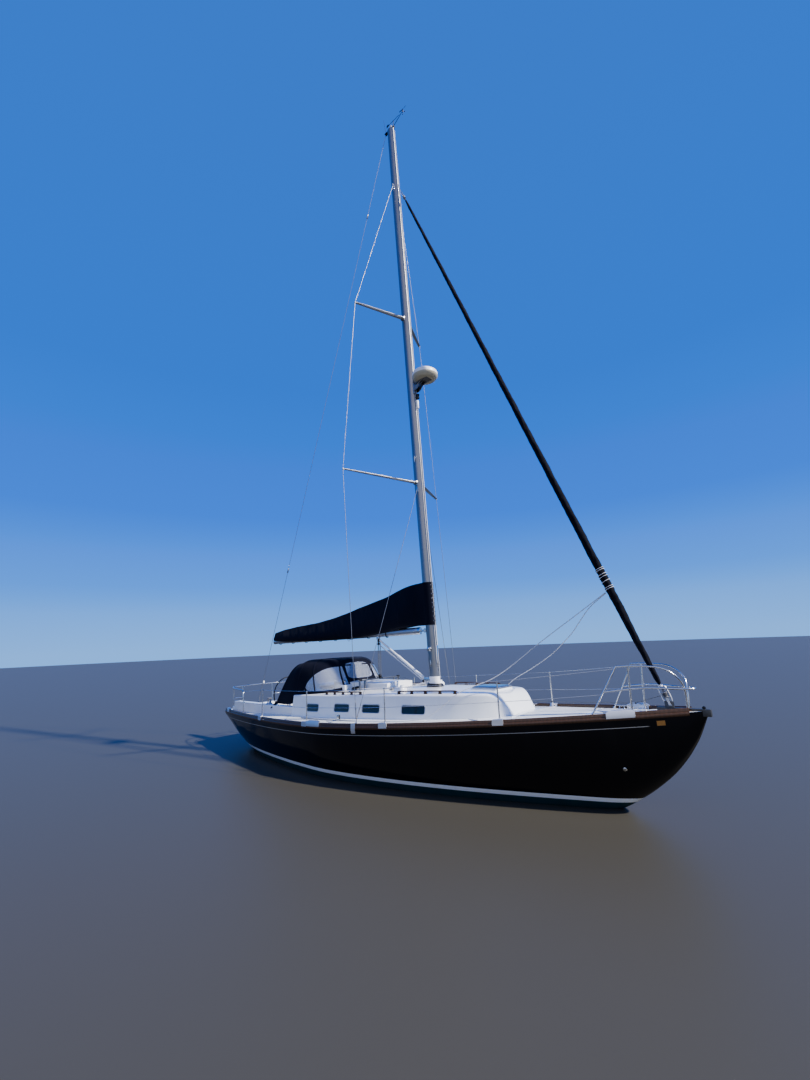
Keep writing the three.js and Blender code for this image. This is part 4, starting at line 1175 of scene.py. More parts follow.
def make_keel():
    # nose, tail, height, thickness; the foot is thicker, as ballast
    rows = [
        (0.885, -0.89, -0.545, 0.21),
        (0.80, -0.92, -0.9, 0.2),
        (0.66, -0.925, -1.3, 0.18),
        (0.55, -0.95, -1.56, 0.165),
        (0.52, -0.98, -1.68, 0.19),
        (0.54, -1.02, -1.78, 0.225),
        (0.545, -1.045, -1.86, 0.228),
        (0.53, -1.035, -1.92, 0.2),
        (0.5, -1.01, -1.955, 0.15),
        (0.45, -0.97, -1.973, 0.09),
        (0.36, -0.9, -1.979, 0.02),
    ]
    table = np.array(rows)[::-1][:, [2, 0, 1, 3]]
    rings = []
    for z in [*np.linspace(-0.545, -1.9, 24), -1.925, -1.945, -1.96, -1.97, -1.976, -1.979]:
        nose, tail, thick = (float(smooth_row(table, c, z)) for c in (1, 2, 3))
        rings.append(foil_ring(nose, tail, z, max(thick, 0.012)))
    Shape().loft(rings).piece("fin_keel", fouling, "antifouling", "keel", angle=60)


def make_rudder():
    made = Shape()
    x = -4.23
    rows = [
        (-1.6, 0.1, -0.32, 0.02),
        (-1.592, 0.115, -0.345, 0.045),
        (-1.57, 0.125, -0.36, 0.06),
        (-1.4, 0.137, -0.4, 0.08),
        (-1.0, 0.142, -0.433, 0.092),
        (-0.6, 0.147, -0.46, 0.1),
        (-0.215, 0.15, -0.478, 0.104),
        (-0.198, 0.147, -0.475, 0.095),
        (-0.19, 0.138, -0.465, 0.07),
    ]
    made.loft([foil_ring(x + nose, x + tail, z, thick) for z, nose, tail, thick in rows])
    made.turned([(0.031, -0.6), (0.031, 0.352), (0.028, 0.36), (0.001, 0.36)], (x, 0, 0), sides=36)
    made.piece("spade_rudder", fouling, "antifouling", "rudder", body="rudder", angle=45)


SHAFT_AFT, SHAFT_FORE = Vector((-3.6, 0, -0.488)), Vector((-2.395, 0, -0.2))
along_shaft = (SHAFT_FORE - SHAFT_AFT).normalized()


def make_drive():
    shaft = Shape().tube([SHAFT_AFT, SHAFT_FORE - along_shaft * 0.002], 0.0148, 28)
    nut = SHAFT_AFT - along_shaft * 0.0005
    shaft.turned(mm(0, 0, 14.8, 0, 14.8, 20, 0, 20), SHAFT_AFT, along_shaft, 28)
    shaft.piece("drive_shaft", steel, "stainless", "propeller_shaft", body="propeller")
    made = Shape()
    profile = mm(0, -88, 12, -87, 20, -80, 28, -68, 36, -40, 40, -12, 39, -1, 0, 0)
    made.turned(profile, (0, 0, 0), sides=40)
    for turn in range(3):
        rings = []
        for t in np.linspace(0, 1, 14):
            reach = 0.03 + (0.163 - 0.03) * t
            wide = 0.052 * sin(pi * (0.16 + 0.84 * t)) ** 0.6 * (1.0 if t < 0.97 else 0.75) + 0.006
            pitch = 1.05 - 0.5 * t
            thick = 0.008 * (1 - 0.75 * t) + 0.0012
            ring = []
            c, s = cos(pitch), sin(pitch)
            for a in around(18):
                u = wide * cos(a) + 0.02 * t * t
                v = thick * sin(a) + 0.008 * cos(a) ** 2 * (1 - t)
                ring.append((reach, u * c - v * s, -0.042 + u * s + v * c))
            rings.append(ring)
        made.add(Shape().loft(rings), Matrix.Rotation(turn * 2 * pi / 3, 4, "Z"))
    made.moved(Matrix.Translation(nut) @ turn_to(along_shaft))
    made.piece("three_blade_propeller", bronze, "bronze", "propeller", body="propeller", angle=50)
    settle(softened("shaft_strut", "shaft_bracket", 0.003, bronze), "bronze", "shaft_strut")
    anode = Shape().turned(
        mm(15.2, 0, 30, 4, 32, 20, 30, 36, 15.2, 40), SHAFT_AFT + along_shaft * 0.3, along_shaft, 24
    )
    anode.piece("shaft_anode", grey_plastic, body="propeller")
    settle(softened("engine", "closed_engine", 0.02, red_paint, 3), "engine", "engine")


make_keel()
make_rudder()
make_drive()


# Steering pedestal and wheel
WHEEL = dict(x=-4.12, z=1.29, radius=0.43)


def rounded_ring(x, y, z, long, wide, power=3.0, count=28):
    """A rounded rectangle as a ring at one height."""
    ring = []
    for a in around(count):
        c, s = cos(a), sin(a)
        grow = (abs(c) ** power + abs(s) ** power) ** (-1 / power)
        ring.append((x + long * c * grow, y + wide * s * grow, z))
    return ring


def make_pedestal():
    x = -3.97
    post = Shape()
    rows = [
        (0.4308, 0.092, 0.074),
        (0.445, 0.092, 0.074),
        (0.46, 0.07, 0.058),
        (0.6, 0.064, 0.052),
        (1.0, 0.06, 0.048),
        (1.2, 0.062, 0.05),
        (1.26, 0.074, 0.06),
        (1.345, 0.082, 0.064),
        (1.357, 0.076, 0.058),
        (1.36, 0.06, 0.045),
    ]
    post.loft([rounded_ring(x, 0, z, long, wide) for z, long, wide in rows])
    post.block((x + 0.04, -0.195, 1.27), (x + 0.13, 0.195, 1.298), 0.01)
    post.piece("pedestal_column", white, "gelcoat", "steering_pedestal", angle=50)
    guard = Shape()
    path = [(0.19, 0.4305), (0.19, 0.8), (0.19, 1.27), (0.175, 1.38), (0.12, 1.44), (0, 1.455)]
    line = [(x + 0.13, y, z) for y, z in path]
    guard.tube(curve_points(line + mirrored(line), 6), *RAIL_TUBE)
    for side in (1, -1):
        guard.turned(
            [(0.03, 0.4305), (0.03, 0.435), (0.018, 0.44), (0.0125, 0.46)], (x + 0.13, side * 0.19, 0), sides=20
        )
    guard.turned(mm(0, 2, 24, 0, 24, 100, 20, 105, 0, 105), (x - 0.13, 0, 1.29), (1, 0, 0), 28)
    guard.tube([(x - 0.02, 0.07, 1.28), (x - 0.01, 0.105, 1.3), (x - 0.005, 0.11, 1.36)], 0.006, 12)
    guard.turned(mm(0, 12, 11, 8, 12, -4, 0, -10), (x - 0.005, 0.11, 1.366), sides=16)
    guard.piece("pedestal_guard", steel, "stainless")
    compass = Shape().turned(
        [(0.058, 1.3585), (0.06, 1.37), (0.058, 1.39), (0.05, 1.395), (0.0, 1.395)], (x, 0, 0), sides=36
    )
    for y in (-0.13, 0.13):
        compass.block((x + 0.035, y - 0.055, 1.298), (x + 0.12, y + 0.055, 1.40), 0.012)
    compass.piece("compass_and_pods", black_plastic)
    lenses = Shape().turned(
        [(0.05, 1.395), (0.046, 1.412), (0.034, 1.428), (0.018, 1.436), (0.0, 1.438)], (x, 0, 0), sides=36
    )
    for y in (-0.13, 0.13):
        lenses.block((x + 0.0325, y - 0.042, 1.312), (x + 0.0352, y + 0.042, 1.386), 0.001)
    lenses.piece("instrument_lenses", pane, "smoked")


def make_wheel():
    x, z, radius = WHEEL["x"], WHEEL["z"], WHEEL["radius"]
    hub, grip, rings = Vector((x, 0, z)), 0.0135, []
    for a in around(120):
        out = Vector((0, sin(a), cos(a)))
        middle = hub + out * radius
        rings.append([middle + out * (grip * cos(b)) + Vector((grip * sin(b), 0, 0)) for b in around(12)])
    rim = Shape().loft(rings + [rings[0]], caps=False)
    rim.piece("wheel_rim", black_leather, body="steering_wheel", angle=60)
    made = Shape()
    for i in range(6):
        a = pi * i / 3
        out = Vector((0, sin(a), cos(a)))
        made.tube([hub + out * r for r in (0.036, 0.2, 0.418)], [0.0078, 0.0068, 0.0062], 12)
    made.turned(mm(0, -29, 30, -29, 42, -20, 44, 0, 42, 18, 30, 24.8, 0, 24.8), (x, 0, z), (1, 0, 0), 36)
    made.turned(mm(0, -12, 14, -10, 16, 2, 16, 12), (x - 0.03, 0, z), (1, 0, 0), 18)
    made.piece("wheel_spokes_and_hub", steel, "stainless", "steering_wheel", body="steering_wheel")
    turns, inner = np.linspace(0, 2 * pi, 180), radius - grip
    line = [(x + 0.001, inner * sin(a), z + inner * cos(a)) for a in turns]
    ups = [Vector((0, -sin(a), -cos(a))) for a in turns]
    stitches = row_of("wheel_stitches", stitch(0.006, 0.0012), [(line, ups)], 0.012, white_thread)
    settle(stitches, "fittings", body="steering_wheel")


make_pedestal()
make_wheel()


# Mast and its fittings
def mast_share(z):
    return float(np.interp(z, [14.0, MAST["top"]], [1, 0.94]))


def mast_ring(z, grow=0.0, count=40):
    """The mast's oval with the sail groove in its after side."""
    share = mast_share(z)
    ring = []
    for a in around(count):
        deep = 0.011 if abs(a - pi) < 0.09 and grow == 0 else 0
        x = (MAST["long"] * share + grow - deep) * cos(a)
        y = (MAST["half"] * share + grow) * sin(a)
        ring.append((mast_x(z) + x, y, z))
    return ring


def mast_side(z, side, share=1.0):
    """A point on the mast's side."""
    return Vector((mast_x(z), side * MAST["half"] * mast_share(z) * share, z))


def make_mast():
    zs = [MAST["foot"], *np.linspace(1.9, 14, 40), *np.linspace(14.2, MAST["top"], 10)]
    Shape().loft([mast_ring(z) for z in zs]).piece("mast_tube", spar, "spar", "mast", angle=28)
    rows = [
        (1.60, 0.194, 0.154), (1.62, 0.194, 0.154), (1.645, 0.186, 0.146), (1.668, 0.182, 0.142),
        (1.682, 0.174, 0.134), (1.6885, 0.156, 0.116),
    ]
    x = mast_x(MAST["foot"])
    step = Shape().loft([rounded_ring(x, 0, z, a - 0.002, b - 0.002, 2.2, 36) for z, a, b in rows])
    step.piece("mast_collar", black_plastic, "fittings", "mast_step", angle=50)
    rows = [
        (1.691, 0.012), (1.7, 0.014), (1.75, 0.006), (1.8, 0.004), (1.802, 0.0072), (1.812, 0.0072), (1.815, 0.0035),
        (1.83, 0.0012),
    ]
    boot = Shape().loft([mast_ring(z, g) for z, g in rows])
    boot.piece("mast_boot", dome_white)


def make_mast_fittings():
    """Winches, cleats, spreader plates and halyard exits on the mast's sides."""
    fit = Shape()
    for side in (1, -1):
        turned = mm(0, 0, 45, 0, 45, 10, 32, 16, 30, 50, 38, 58, 38, 68, 18, 74, 0, 74)
        fit.turned(turned, mast_side(2.38, side, 0.96), (0, side, 0), 28)
        for z in (2.08, 6.6):
            place = mast_side(z, side, 0.985)
            fit.block(place + Vector((-0.012, -0.01, -0.03)), place + Vector((0.012, 0.01, 0.03)), 0.003)
            fit.tube(
                [place + Vector((0, side * 0.022, k)) for k in (-0.075, -0.03, 0.03, 0.075)],
                [0.005, 0.008, 0.008, 0.005], 10,
            )
        for z, long in ((5.90, 0.16), (6.03, 0.13), (10.37, 0.13), (14.5, 0.15)):
            place = mast_side(z, side, 0.99)
            fit.block(place + Vector((-0.028, -0.004, -long / 2)), place + Vector((0.028, 0.004, long / 2)), 0.002)
            for k in (-0.35, -0.12, 0.12, 0.35):
                fit.turned(
                    mm(0, 4, 4, 3, 6, 0), place + Vector((0.014 * (1 if k > 0 else -1), side * 0.004, long * k)),
                    (0, side, 0), 10,
                )
    ahead = mast_x(14.43) + 0.1145
    fit.block((ahead - 0.006, -0.014, 14.33), (ahead + 0.003, 0.014, 14.55), 0.002)
    fit.block((mast_x(2.2) + 0.108, -0.02, 2.0), (mast_x(2.2) + 0.124, 0.02, 2.45), 0.003)
    fit.piece("mast_fittings", steel)
    slots = Shape()
    for side in (1, -1):
        for z, x in ((3.05, 0.03), (3.35, -0.03)):
            place = mast_side(z, side, 0.93) + Vector((x, 0, 0))
            slots.block(place + Vector((-0.009, -0.0056, -0.05)), place + Vector((0.009, 0.0056, 0.05)), 0.004)
    slots.piece("halyard_exits", black_plastic)


def make_halyards():
    lines = Shape()
    for y, z_top, z_low, out in ((0.026, 16.5, 1.8, 0.012), (-0.03, 16.5, 2.1, 0.012), (0.0, 13.9, 2.45, 0.02)):
        path = []
        for z in np.linspace(z_low, z_top, 24):
            reach = MAST["long"] * mast_share(z) * sqrt(1 - (y / MAST["half"]) ** 2)
            path.append((mast_x(z) + reach + out, y, z))
        lines.tube(path, 0.0048, 8)
    settle(along_map(lines.object("halyards", white_line)), "fittings")


def along_map(made):
    """A map for a line: u along its length and v round it, in turns."""
    mesh = made.data
    uv = mesh.uv_layers.new(name="UVMap")
    co = np.array([v.co for v in mesh.vertices])
    long_axis = int(np.argmax(np.ptp(co, axis=0)))
    normals = np.array([v.normal for v in mesh.vertices])
    other = [i for i in range(3) if i != long_axis]
    turn = np.arctan2(normals[:, other[0]], normals[:, other[1]]) / (2 * pi)
    loops = np.array([loop.vertex_index for loop in mesh.loops])
    uv.data.foreach_set("uv", np.stack([co[loops, long_axis], turn[loops] / 40], 1).ravel())
    return made


make_mast()
make_mast_fittings()
make_halyards()


def make_spreaders():
    for name, (z, _) in SPREADERS.items():
        for side, word in SIDES:
            root = Vector((mast_x(z), 0, z))
            tip = spreader_tip(name, side)
            away = (tip - root).normalized()
            rings = []
            for t in [0.055, 0.1, *np.linspace(0.2, 0.92, 8), 0.965, 0.985]:
                centre = root + (tip - root) * t
                long, high = 0.066 - 0.028 * t, 0.024 - 0.01 * t
                ring = []
                for a in around(24):
                    nose = cos(a)
                    ring.append(centre + Vector((long * nose, 0, high * sin(a) * (1 - 0.35 * max(0, -nose)))))
                rings.append(ring)
            made = Shape().loft(rings)
            made.piece(f"spreader_arm_{name}_{word}", spar_along, "spar", f"spreader_{name}_{word}", angle=50)
            end = Shape().turned(mm(0, -22, 16, -20, 21, -6, 21, 6, 16, 20, 0, 22), tip - away * 0.006, (0, 0, 1), 20)
            end.piece(f"spreader_end_{name}_{word}", white_thread, angle=60)
            bracket = Shape().block((-0.062, -0.032, -0.031), (0.062, 0.032, 0.031), 0.012)
            bracket.moved(Matrix.Translation(root + away * 0.084) @ turn_to(away, Vector((0, side, 0))))
            bracket.piece(f"spreader_root_{name}_{word}", spar, "spar")


make_spreaders()


def turnbuckle(made, low, high, long=0.3, radius=0.011):
    """A rigging screw on the lower end of a wire, between its toggle and its swaged end."""
    low, high = Vector(low), Vector(high)
    way = (high - low).normalized()
    made.turned(mm(0, 0, 8, 4, 8, 50, 6, 55, 6, 70), low, way, 14)
    profile = [(0.006, 0.07), (radius, 0.078), (radius, 0.1), (radius * 0.82, 0.11), (radius * 0.82, long - 0.13)]
    profile += [(radius, long - 0.12), (radius, long - 0.1), (0.006, long - 0.094), (0.006, long - 0.06)]
    profile += [(0.0085, long - 0.055), (0.0085, long), (0.0052, long + 0.012)]
    made.turned(profile, low, way, 16)


def make_shrouds():
    for side, word in SIDES:
        y = half_beam(0.4) - 0.07
        foot = Vector((0.4, side * y, deck_top(0.4, y)))
        hold = mast_side(14.62, side, 0.93)
        line = [
            foot + (spreader_tip("lower", side) - foot) * 0.012, spreader_tip("lower", side),
            spreader_tip("upper", side), hold,
        ]
        made = Shape().tube(line, 0.005, 10)
        turnbuckle(made, foot + UP * 0.05, line[1], 0.36, 0.014)
        made.piece(f"cap_shroud_wire_{word}", wire, "stainless", f"cap_shroud_{word}")
        lower_foot = Vector((0.29, side * (y - 0.07), deck_top(0.29, y - 0.07)))
        lower_head = Vector((mast_x(5.9), side * 0.074, 5.9))
        made = Shape().tube([lower_foot.lerp(lower_head, 0.012), lower_head], 0.005, 10)
        turnbuckle(made, lower_foot.lerp(lower_head, 0.012), lower_head, 0.34, 0.012)
        made.piece(f"lower_shroud_wire_{word}", wire, "stainless", f"lower_shroud_{word}")
        plates = Shape()
        for place, head in ((foot, line[1]), (lower_foot, lower_head)):
            plates.block(
                (place.x - 0.045, place.y - 0.018, place.z - 0.002),
                (place.x + 0.045, place.y + 0.018, place.z + 0.005), 0.002,
            )
            tang = Shape().block((-0.016, -0.003, -0.01), (0.016, 0.003, 0.075), 0.0025)
            tang.turned(mm(0, -9, 7, -9, 7, 9, 0, 9), (0, 0, 0.06), (0, 1, 0), 14)
            plates.add(tang, Matrix.Translation(place) @ turn_to((head - place).normalized()))
        # strap from the chainplate over the rail and down the topside
        strap = []
        for x in (0.335, 0.435):
            edge = half_beam(x) - 0.004
            over = deck_top(x, edge)
            path = [
                (y - 0.02, deck_top(x, y - 0.02) + 0.004), (edge - 0.036, over + 0.006), (edge - 0.035, over + 0.058)
            ]
            path += [
                (edge + 0.012, over + 0.058), (edge + 0.019, over - 0.05),
                (hull_side(x, over - 0.12) + 0.003, over - 0.12),
            ]
            under = [(a - 0.004, b - (0.004 if k < 4 else 0)) for k, (a, b) in enumerate(path)]
            strap.append([(x, side * a, b) for a, b in path + under[::-1]])
        plates.loft(strap)
        plates.piece(f"chainplates_{word}", cast, "stainless")


make_shrouds()


def make_backstay():
    foot, head = Vector((-5.6, 0, deck_top(-5.6, 0))), Vector((mast_x(MAST["top"]) - 0.19, 0, MAST["top"]))
    made = Shape().tube([foot.lerp(head, 0.008), head], 0.005, 10)
    turnbuckle(made, foot.lerp(head, 0.006), head, 0.42, 0.016)
    for t in (0.24, 0.86):
        made.turned(mm(5.2, -70, 18, -55, 20, 0, 18, 55, 5.2, 70), foot.lerp(head, t), (head - foot).normalized(), 16)
    made.block(foot + Vector((-0.03, -0.02, -0.002)), foot + Vector((0.06, 0.02, 0.006)), 0.002)
    made.block(foot + Vector((-0.004, -0.004, 0)), foot + Vector((0.05, 0.004, 0.11)), 0.002)
    made.piece("backstay_wire", wire, "stainless", "backstay")


make_backstay()


def make_masthead():
    x, low = mast_x(MAST["top"]), MAST["top"] + 0.0004
    made = Shape().block((x - 0.21, -0.033, low), (x + 0.13, 0.033, low + 0.022), 0.004)
    for end in (-0.18, 0.1):
        made.turned(mm(0, -28, 22, -28, 18, 0, 22, 28, 0, 28), (x + end, 0, low - 0.005), (0, 1, 0), 20)
    made.tube([(x - 0.18, 0, low + 0.02), (x - 0.185, 0, low + 0.06)], 0.011, 12)
    made.tube([(x - 0.185, 0, low + 0.05), (x - 0.26, 0, low + 0.62)], [0.005, 0.002], 8)
    made.tube([(x + 0.105, 0, low + 0.02), (x + 0.105, 0, low + 0.2095)], 0.0068, 12)
    made.piece("masthead_crane", black_plastic, "fittings", "masthead_unit")
    make_wind_sensor()
    lamp = Shape()
    lamp.turned(
        mm(0, 21, 32, 21, 34, 30, 30, 36, 30, 90, 34, 96, 34, 110, 20, 124, 0, 127), (x + 0.02, 0, low), sides=28
    )
    lamp.piece("masthead_light", dome_white)
    make_wind_arrow()


def make_wind_sensor():
    """Three cups and a fin on a wand ahead of the masthead."""
    wand, end = Shape(), Vector((0.9, 0, 16.85))
    wand.tube([(0.5, 0, 16.627), (0.56, 0, 16.645), end], [0.0075, 0.007, 0.0055], 10)
    wand.turned(mm(0, -70, 11, -66, 14, -40, 14, 30, 8, 40, 5, 62, 0, 64), end, sides=18)
    for k in range(3):
        way = Vector((cos(2.1 * k + 0.5), sin(2.1 * k + 0.5), 0))
        low = end - UP * 0.055
        wand.tube([low, low + way * 0.04], 0.0025, 6)
        cup = low + way * 0.052
        wand.turned(mm(0, 16, 11, 12, 16.5, 1, 15.5, 0, 9, 9, 0, 12), cup, way.cross(UP), 14)
    wand.tube([end + Vector((-0.085, 0, 0.056)), end + Vector((0.12, 0, 0.056))], 0.0035, 8)
    fin = mm(-115, 30, -50, 50, -50, 62, -115, 85)
    wand.loft([[end + Vector((a, y, b)) for a, b in fin] for y in (-0.0015, 0.0015)])
    wand.piece("wind_sensor", black_plastic)


def make_wind_arrow():
    vane_x, vane_z = 0.538203, 16.81081
    vane = Shape()
    vane.turned(mm(0, 0, 11.5, 1, 12, 10, 10, 26, 4, 30, 0, 30), (vane_x, 0, vane_z), sides=20)
    vane.tube(
        [(vane_x - 0.24, 0, vane_z + 0.018), (vane_x + 0.2, 0, vane_z + 0.018), (vane_x + 0.24, 0, vane_z + 0.018)],
        [0.0045, 0.0045, 0.001], 10,
    )
    fin = mm(-250, -18, -160, 0, -150, 30, -200, 68, -250, 66)
    vane.loft([[(vane_x + a, y, vane_z + b) for a, b in fin] for y in (-0.0022, 0.0022)])
    vane.piece("wind_arrow", black_plastic, "fittings", "wind_vane", body="wind_vane")


make_masthead()


# Radar and steaming light on the mast's front
def make_radar():
    x, z = mast_x(8.6) + 0.43, 8.6
    dome, base = Shape(), Shape()
    top = mm(299.5, 0, 298, 30, 285, 60, 250, 90, 180, 108, 90, 114.5, 0, 115)
    dome.turned([(0.2995, -0.028), (0.3, -0.02), *top], (x, 0, z), sides=64)
    under = mm(0, -115, 200, -115, 225, -110, 262, -85, 292, -50, 297.5, -28.5)
    base.turned(under, (x, 0, z), sides=64)
    dome.piece("radar_cover", dome_white, "radar", "radar_dome", angle=50)
    # the underside's darker beige is painted shade under the dome
    base.piece("radar_underside", underside_beige_shade, "radar", angle=50)
    arms = Shape()
    for y in (-0.075, 0.075):
        back = mast_x(8.4) + 0.094
        arms.tube(
            curve_points(
                [(back, y * 0.55, 8.30), (back + 0.1, y, 8.34), (x - 0.1, y, 8.465), (x + 0.1, y, 8.474)], 6
            ),
            0.011, 12,
        )
        arms.tube([(back - 0.01, y * 0.55, 8.47), (x - 0.12, y, 8.474)], 0.011, 12)
    arms.block((x - 0.15, -0.1, 8.47), (x + 0.12, 0.1, 8.4855), 0.003)
    web = [(back, 8.3), (back + 0.05, 8.3), (x - 0.02, 8.455), (x - 0.02, 8.474), (back, 8.474)]
    for y in (-0.045, 0.045):
        arms.loft([[(a, y + t, b) for a, b in web] for t in (-0.003, 0.003)])
    arms.block((mast_x(8.4) + 0.088, -0.055, 8.25), (mast_x(8.4) + 0.126, 0.055, 8.52), 0.006)
    arms.piece("radar_bracket", spar, "spar")
    lamp = Shape()
    at = mast_x(8.16) + 0.112
    lamp.block((at, -0.03, 8.09), (at + 0.03, 0.03, 8.23), 0.006)
    lamp.turned(
        mm(0, -55, 38, -55, 42, -45, 42, -35, 34, -30, 34, 20, 42, 25, 42, 45, 20, 58, 0, 58), (at + 0.055, 0, 8.165),
        sides=28,
    )
    lamp.piece("steaming_light", black_plastic)
    lower = Shape().block((at + 0.002, -0.022, 7.84), (at + 0.03, 0.022, 8.085), 0.006)
    lower.turned(mm(0, -110, 20, -108, 26, -90, 26, 85, 18, 100, 0, 102), (at + 0.045, 0, 7.965), sides=24)
    lower.piece("deck_light", dome_white)


make_radar()


# Boom, its gooseneck, the vang and the mainsheet
def boom_ring(x, share=1.0, grow=0.0, count=28):
    ring = []
    for a in around(count):
        ring.append((x, (0.0475 * share + grow) * sin(a), boom_z(x) + (0.075 * share + grow) * cos(a)))
    return ring


def make_boom():
    front, end = 0.695, BOOM["end"]
    xs = [front, front - 0.004, *np.linspace(front - 0.2, end + 0.01, 24), end + 0.004, end]
    shares = [0.97, 1, *[1] * 24, 0.99, 0.94]
    made = Shape().loft([boom_ring(x, s) for x, s in zip(xs, shares)])
    made.piece("boom_tube", spar_along, "spar", "boom", body="boom", angle=35)
    fit = Shape()
    for x0, x1 in ((front + 0.004, front - 0.07), (end - 0.006, end + 0.075)):
        fit.loft([boom_ring(x, 1, g) for x, g in ((x0, -0.004), (x0, 0.0022), (x1, 0.0022), (x1, -0.004))])
    fit.block((0.68, -0.014, 2.738), (0.803, 0.014, 2.782), 0.004)
    fit.turned(mm(0, -23.8, 13.8, -23.8, 13.8, 23.8, 0, 23.8), (BOOM["pivot"], 0, BOOM["z"]), sides=24)
    for x in (-0.56, -1.6):
        low = boom_z(x) - 0.075
        fit.block((x - 0.06, -0.012, low - 0.006), (x + 0.06, 0.012, low + 0.002), 0.002)
        loop = [(x + a, 0, low - b) for a, b in mm(-30, 0, -22, 30, 0, 42, 22, 30, 30, 0)]
        fit.tube(curve_points(loop, 5), 0.005, 10)
    bail = [(end - back, 0, boom_z(end) + up) for back, up in mm(4, 50, 30, 60, 30, 100, 2, 78)]
    fit.tube(curve_points(bail, 5), 0.005, 10)
    fit.piece("boom_fittings", steel, "stainless", body="boom")
    settle(softened("gooseneck", "gooseneck_bracket", 0.002, steel), "stainless", "gooseneck")
    pin = Shape().turned(
        mm(0, -48, 12, -46, 12, -38.5, 6.5, -37.5, 6.5, 37.5, 12, 38.5, 12, 44, 0, 48), (BOOM["pivot"], 0, BOOM["z"]),
        sides=20,
    )
    pin.piece("gooseneck_pin", steel, "stainless")


make_boom()


def make_vang():
    top = Vector((-0.59, 0, boom_z(-0.59) - 0.075 - 0.038))
    foot = Vector((0.755, 0, 1.77))
    way = (top - foot).normalized()
    reach = (top - foot).length
    made = Shape()
    profile = [
        (0.0, 0.005), (0.014, 0.008), (0.014, 0.05), (0.03, 0.06), (0.03, reach * 0.55), (0.027, reach * 0.55 + 0.006)
    ]
    profile += [
        (0.022, reach * 0.55 + 0.012), (0.022, reach - 0.06), (0.01, reach - 0.05), (0.01, reach - 0.004),
        (0.0, reach),
    ]
    made.turned(profile, foot, way, 28)
    made.piece("vang_strut", dome_white, "spar", "vang", body="boom", angle=40)
    fit = Shape()
    for y in (-0.013, 0.013):
        fit.block((-0.63, y - 0.003, top.z - 0.012), (-0.54, y + 0.003, boom_z(-0.59) - 0.07), 0.002)
    fit.turned(mm(0, -20, 6, -19, 6, 19, 0, 20), top, (0, 1, 0), 14)
    fit.block((-0.592, -0.004, 2.53), (-0.57, 0.004, top.z), 0.001)
    fit.piece("vang_hanger", steel, "stainless", body="boom")
    lower = Shape()
    for y in (-0.02, 0.0, 0.02):
        a, b = Vector((-0.56, y * 0.6, 2.50)), Vector((0.70, y, 1.74))
        lower.tube([a.lerp(b, t) for t in np.linspace(0, 1, 20)], 0.0055, 8)
    settle(along_map(lower.object("vang_tackle", white_line)), "fittings", body="boom")
    blocks = Shape()
    for place in (Vector((-0.58, 0, 2.515)), Vector((0.72, 0, 1.73))):
        for y in (-0.012, 0.012):
            blocks.turned(sheave(0.028, 0.024, 0.009, 0.004), place + Vector((0, y, 0)), (0, 1, 0), 22)
    blocks.piece("vang_blocks", black_plastic, body="boom", angle=50)
    tang = Shape().block((0.74, -0.02, 1.715), (mast_x(1.77) - 0.108, 0.02, 1.80), 0.003)
    tang.piece("vang_mast_tang", steel, "stainless")


make_vang()


def make_mainsheet():
    x, high = -0.56, boom_z(-0.56) - 0.115
    section, half, rings = mm(-20, 0, 20, 0, 20, 8, 12, 12, 16, 22, -16, 22, -12, 12, -20, 8), 0.66, []
    for y in np.linspace(-half, half, 25):
        rise = 1.742 + 0.008 * (1 - (y / half) ** 2)
        rings.append([(x + a, y, rise + b) for a, b in section])
    track = Shape().loft(rings)
    for y in (-0.62, -0.47, 0.47, 0.62):
        floor = roof_z(x, y)
        track.block((x - 0.022, y - 0.016, floor - 0.004), (x + 0.022, y + 0.016, 1.745), 0.005)
    track.piece("traveller_track", spar, "spar")
    car = Shape()
    car.block((x - 0.05, -0.045, 1.756), (x + 0.05, 0.045, 1.782), 0.006)
    for y in (-0.6, 0.6):
        car.block((x - 0.025, y - 0.03, 1.75), (x + 0.025, y + 0.03, 1.785), 0.006)
    wheel = sheave(0.034, 0.028, 0.011, 0.005)
    for y in (-0.016, 0.016):
        car.turned(wheel, (x, y, 1.815), (0, 1, 0), 24)
    car.piece("traveller_car", black_plastic, angle=50)
    block = Shape()
    for y in (-0.016, 0.016):
        block.turned(wheel, (x, y, high - 0.04), (0, 1, 0), 24)
    block.block((x - 0.008, -0.03, high - 0.05), (x + 0.008, 0.03, high + 0.012), 0.003)
    block.piece("mainsheet_boom_block", black_plastic, body="boom", angle=50)
    falls = Shape()
    for dx, y in ((-0.03, -0.01), (0.03, -0.01), (-0.03, 0.01), (0.03, 0.01)):
        a, b = Vector((x + dx, y, 1.815)), Vector((x + dx, y, high - 0.04))
        falls.tube([a.lerp(b, t) for t in np.linspace(0, 1, 24)], 0.0048, 8)
    tackle = along_map(falls.object("mainsheet_falls", dark_line))
    settle(tackle, "fittings", body=None)
    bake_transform(tackle)


make_mainsheet()


# Furled headsail, its drum and sheets
def roll_radius(z):
    zs = [1.79, 1.81, 1.87, 2.2, 2.6, 3.0, 3.25, 3.6, 4.6, 8.0, 11.5, 13.6, 13.85, 13.9]
    rs = [0.018, 0.028, 0.036, 0.044, 0.055, 0.064, 0.067, 0.064, 0.062, 0.053, 0.04, 0.03, 0.02, 0.010]
    return float(np.interp(z, zs, rs))


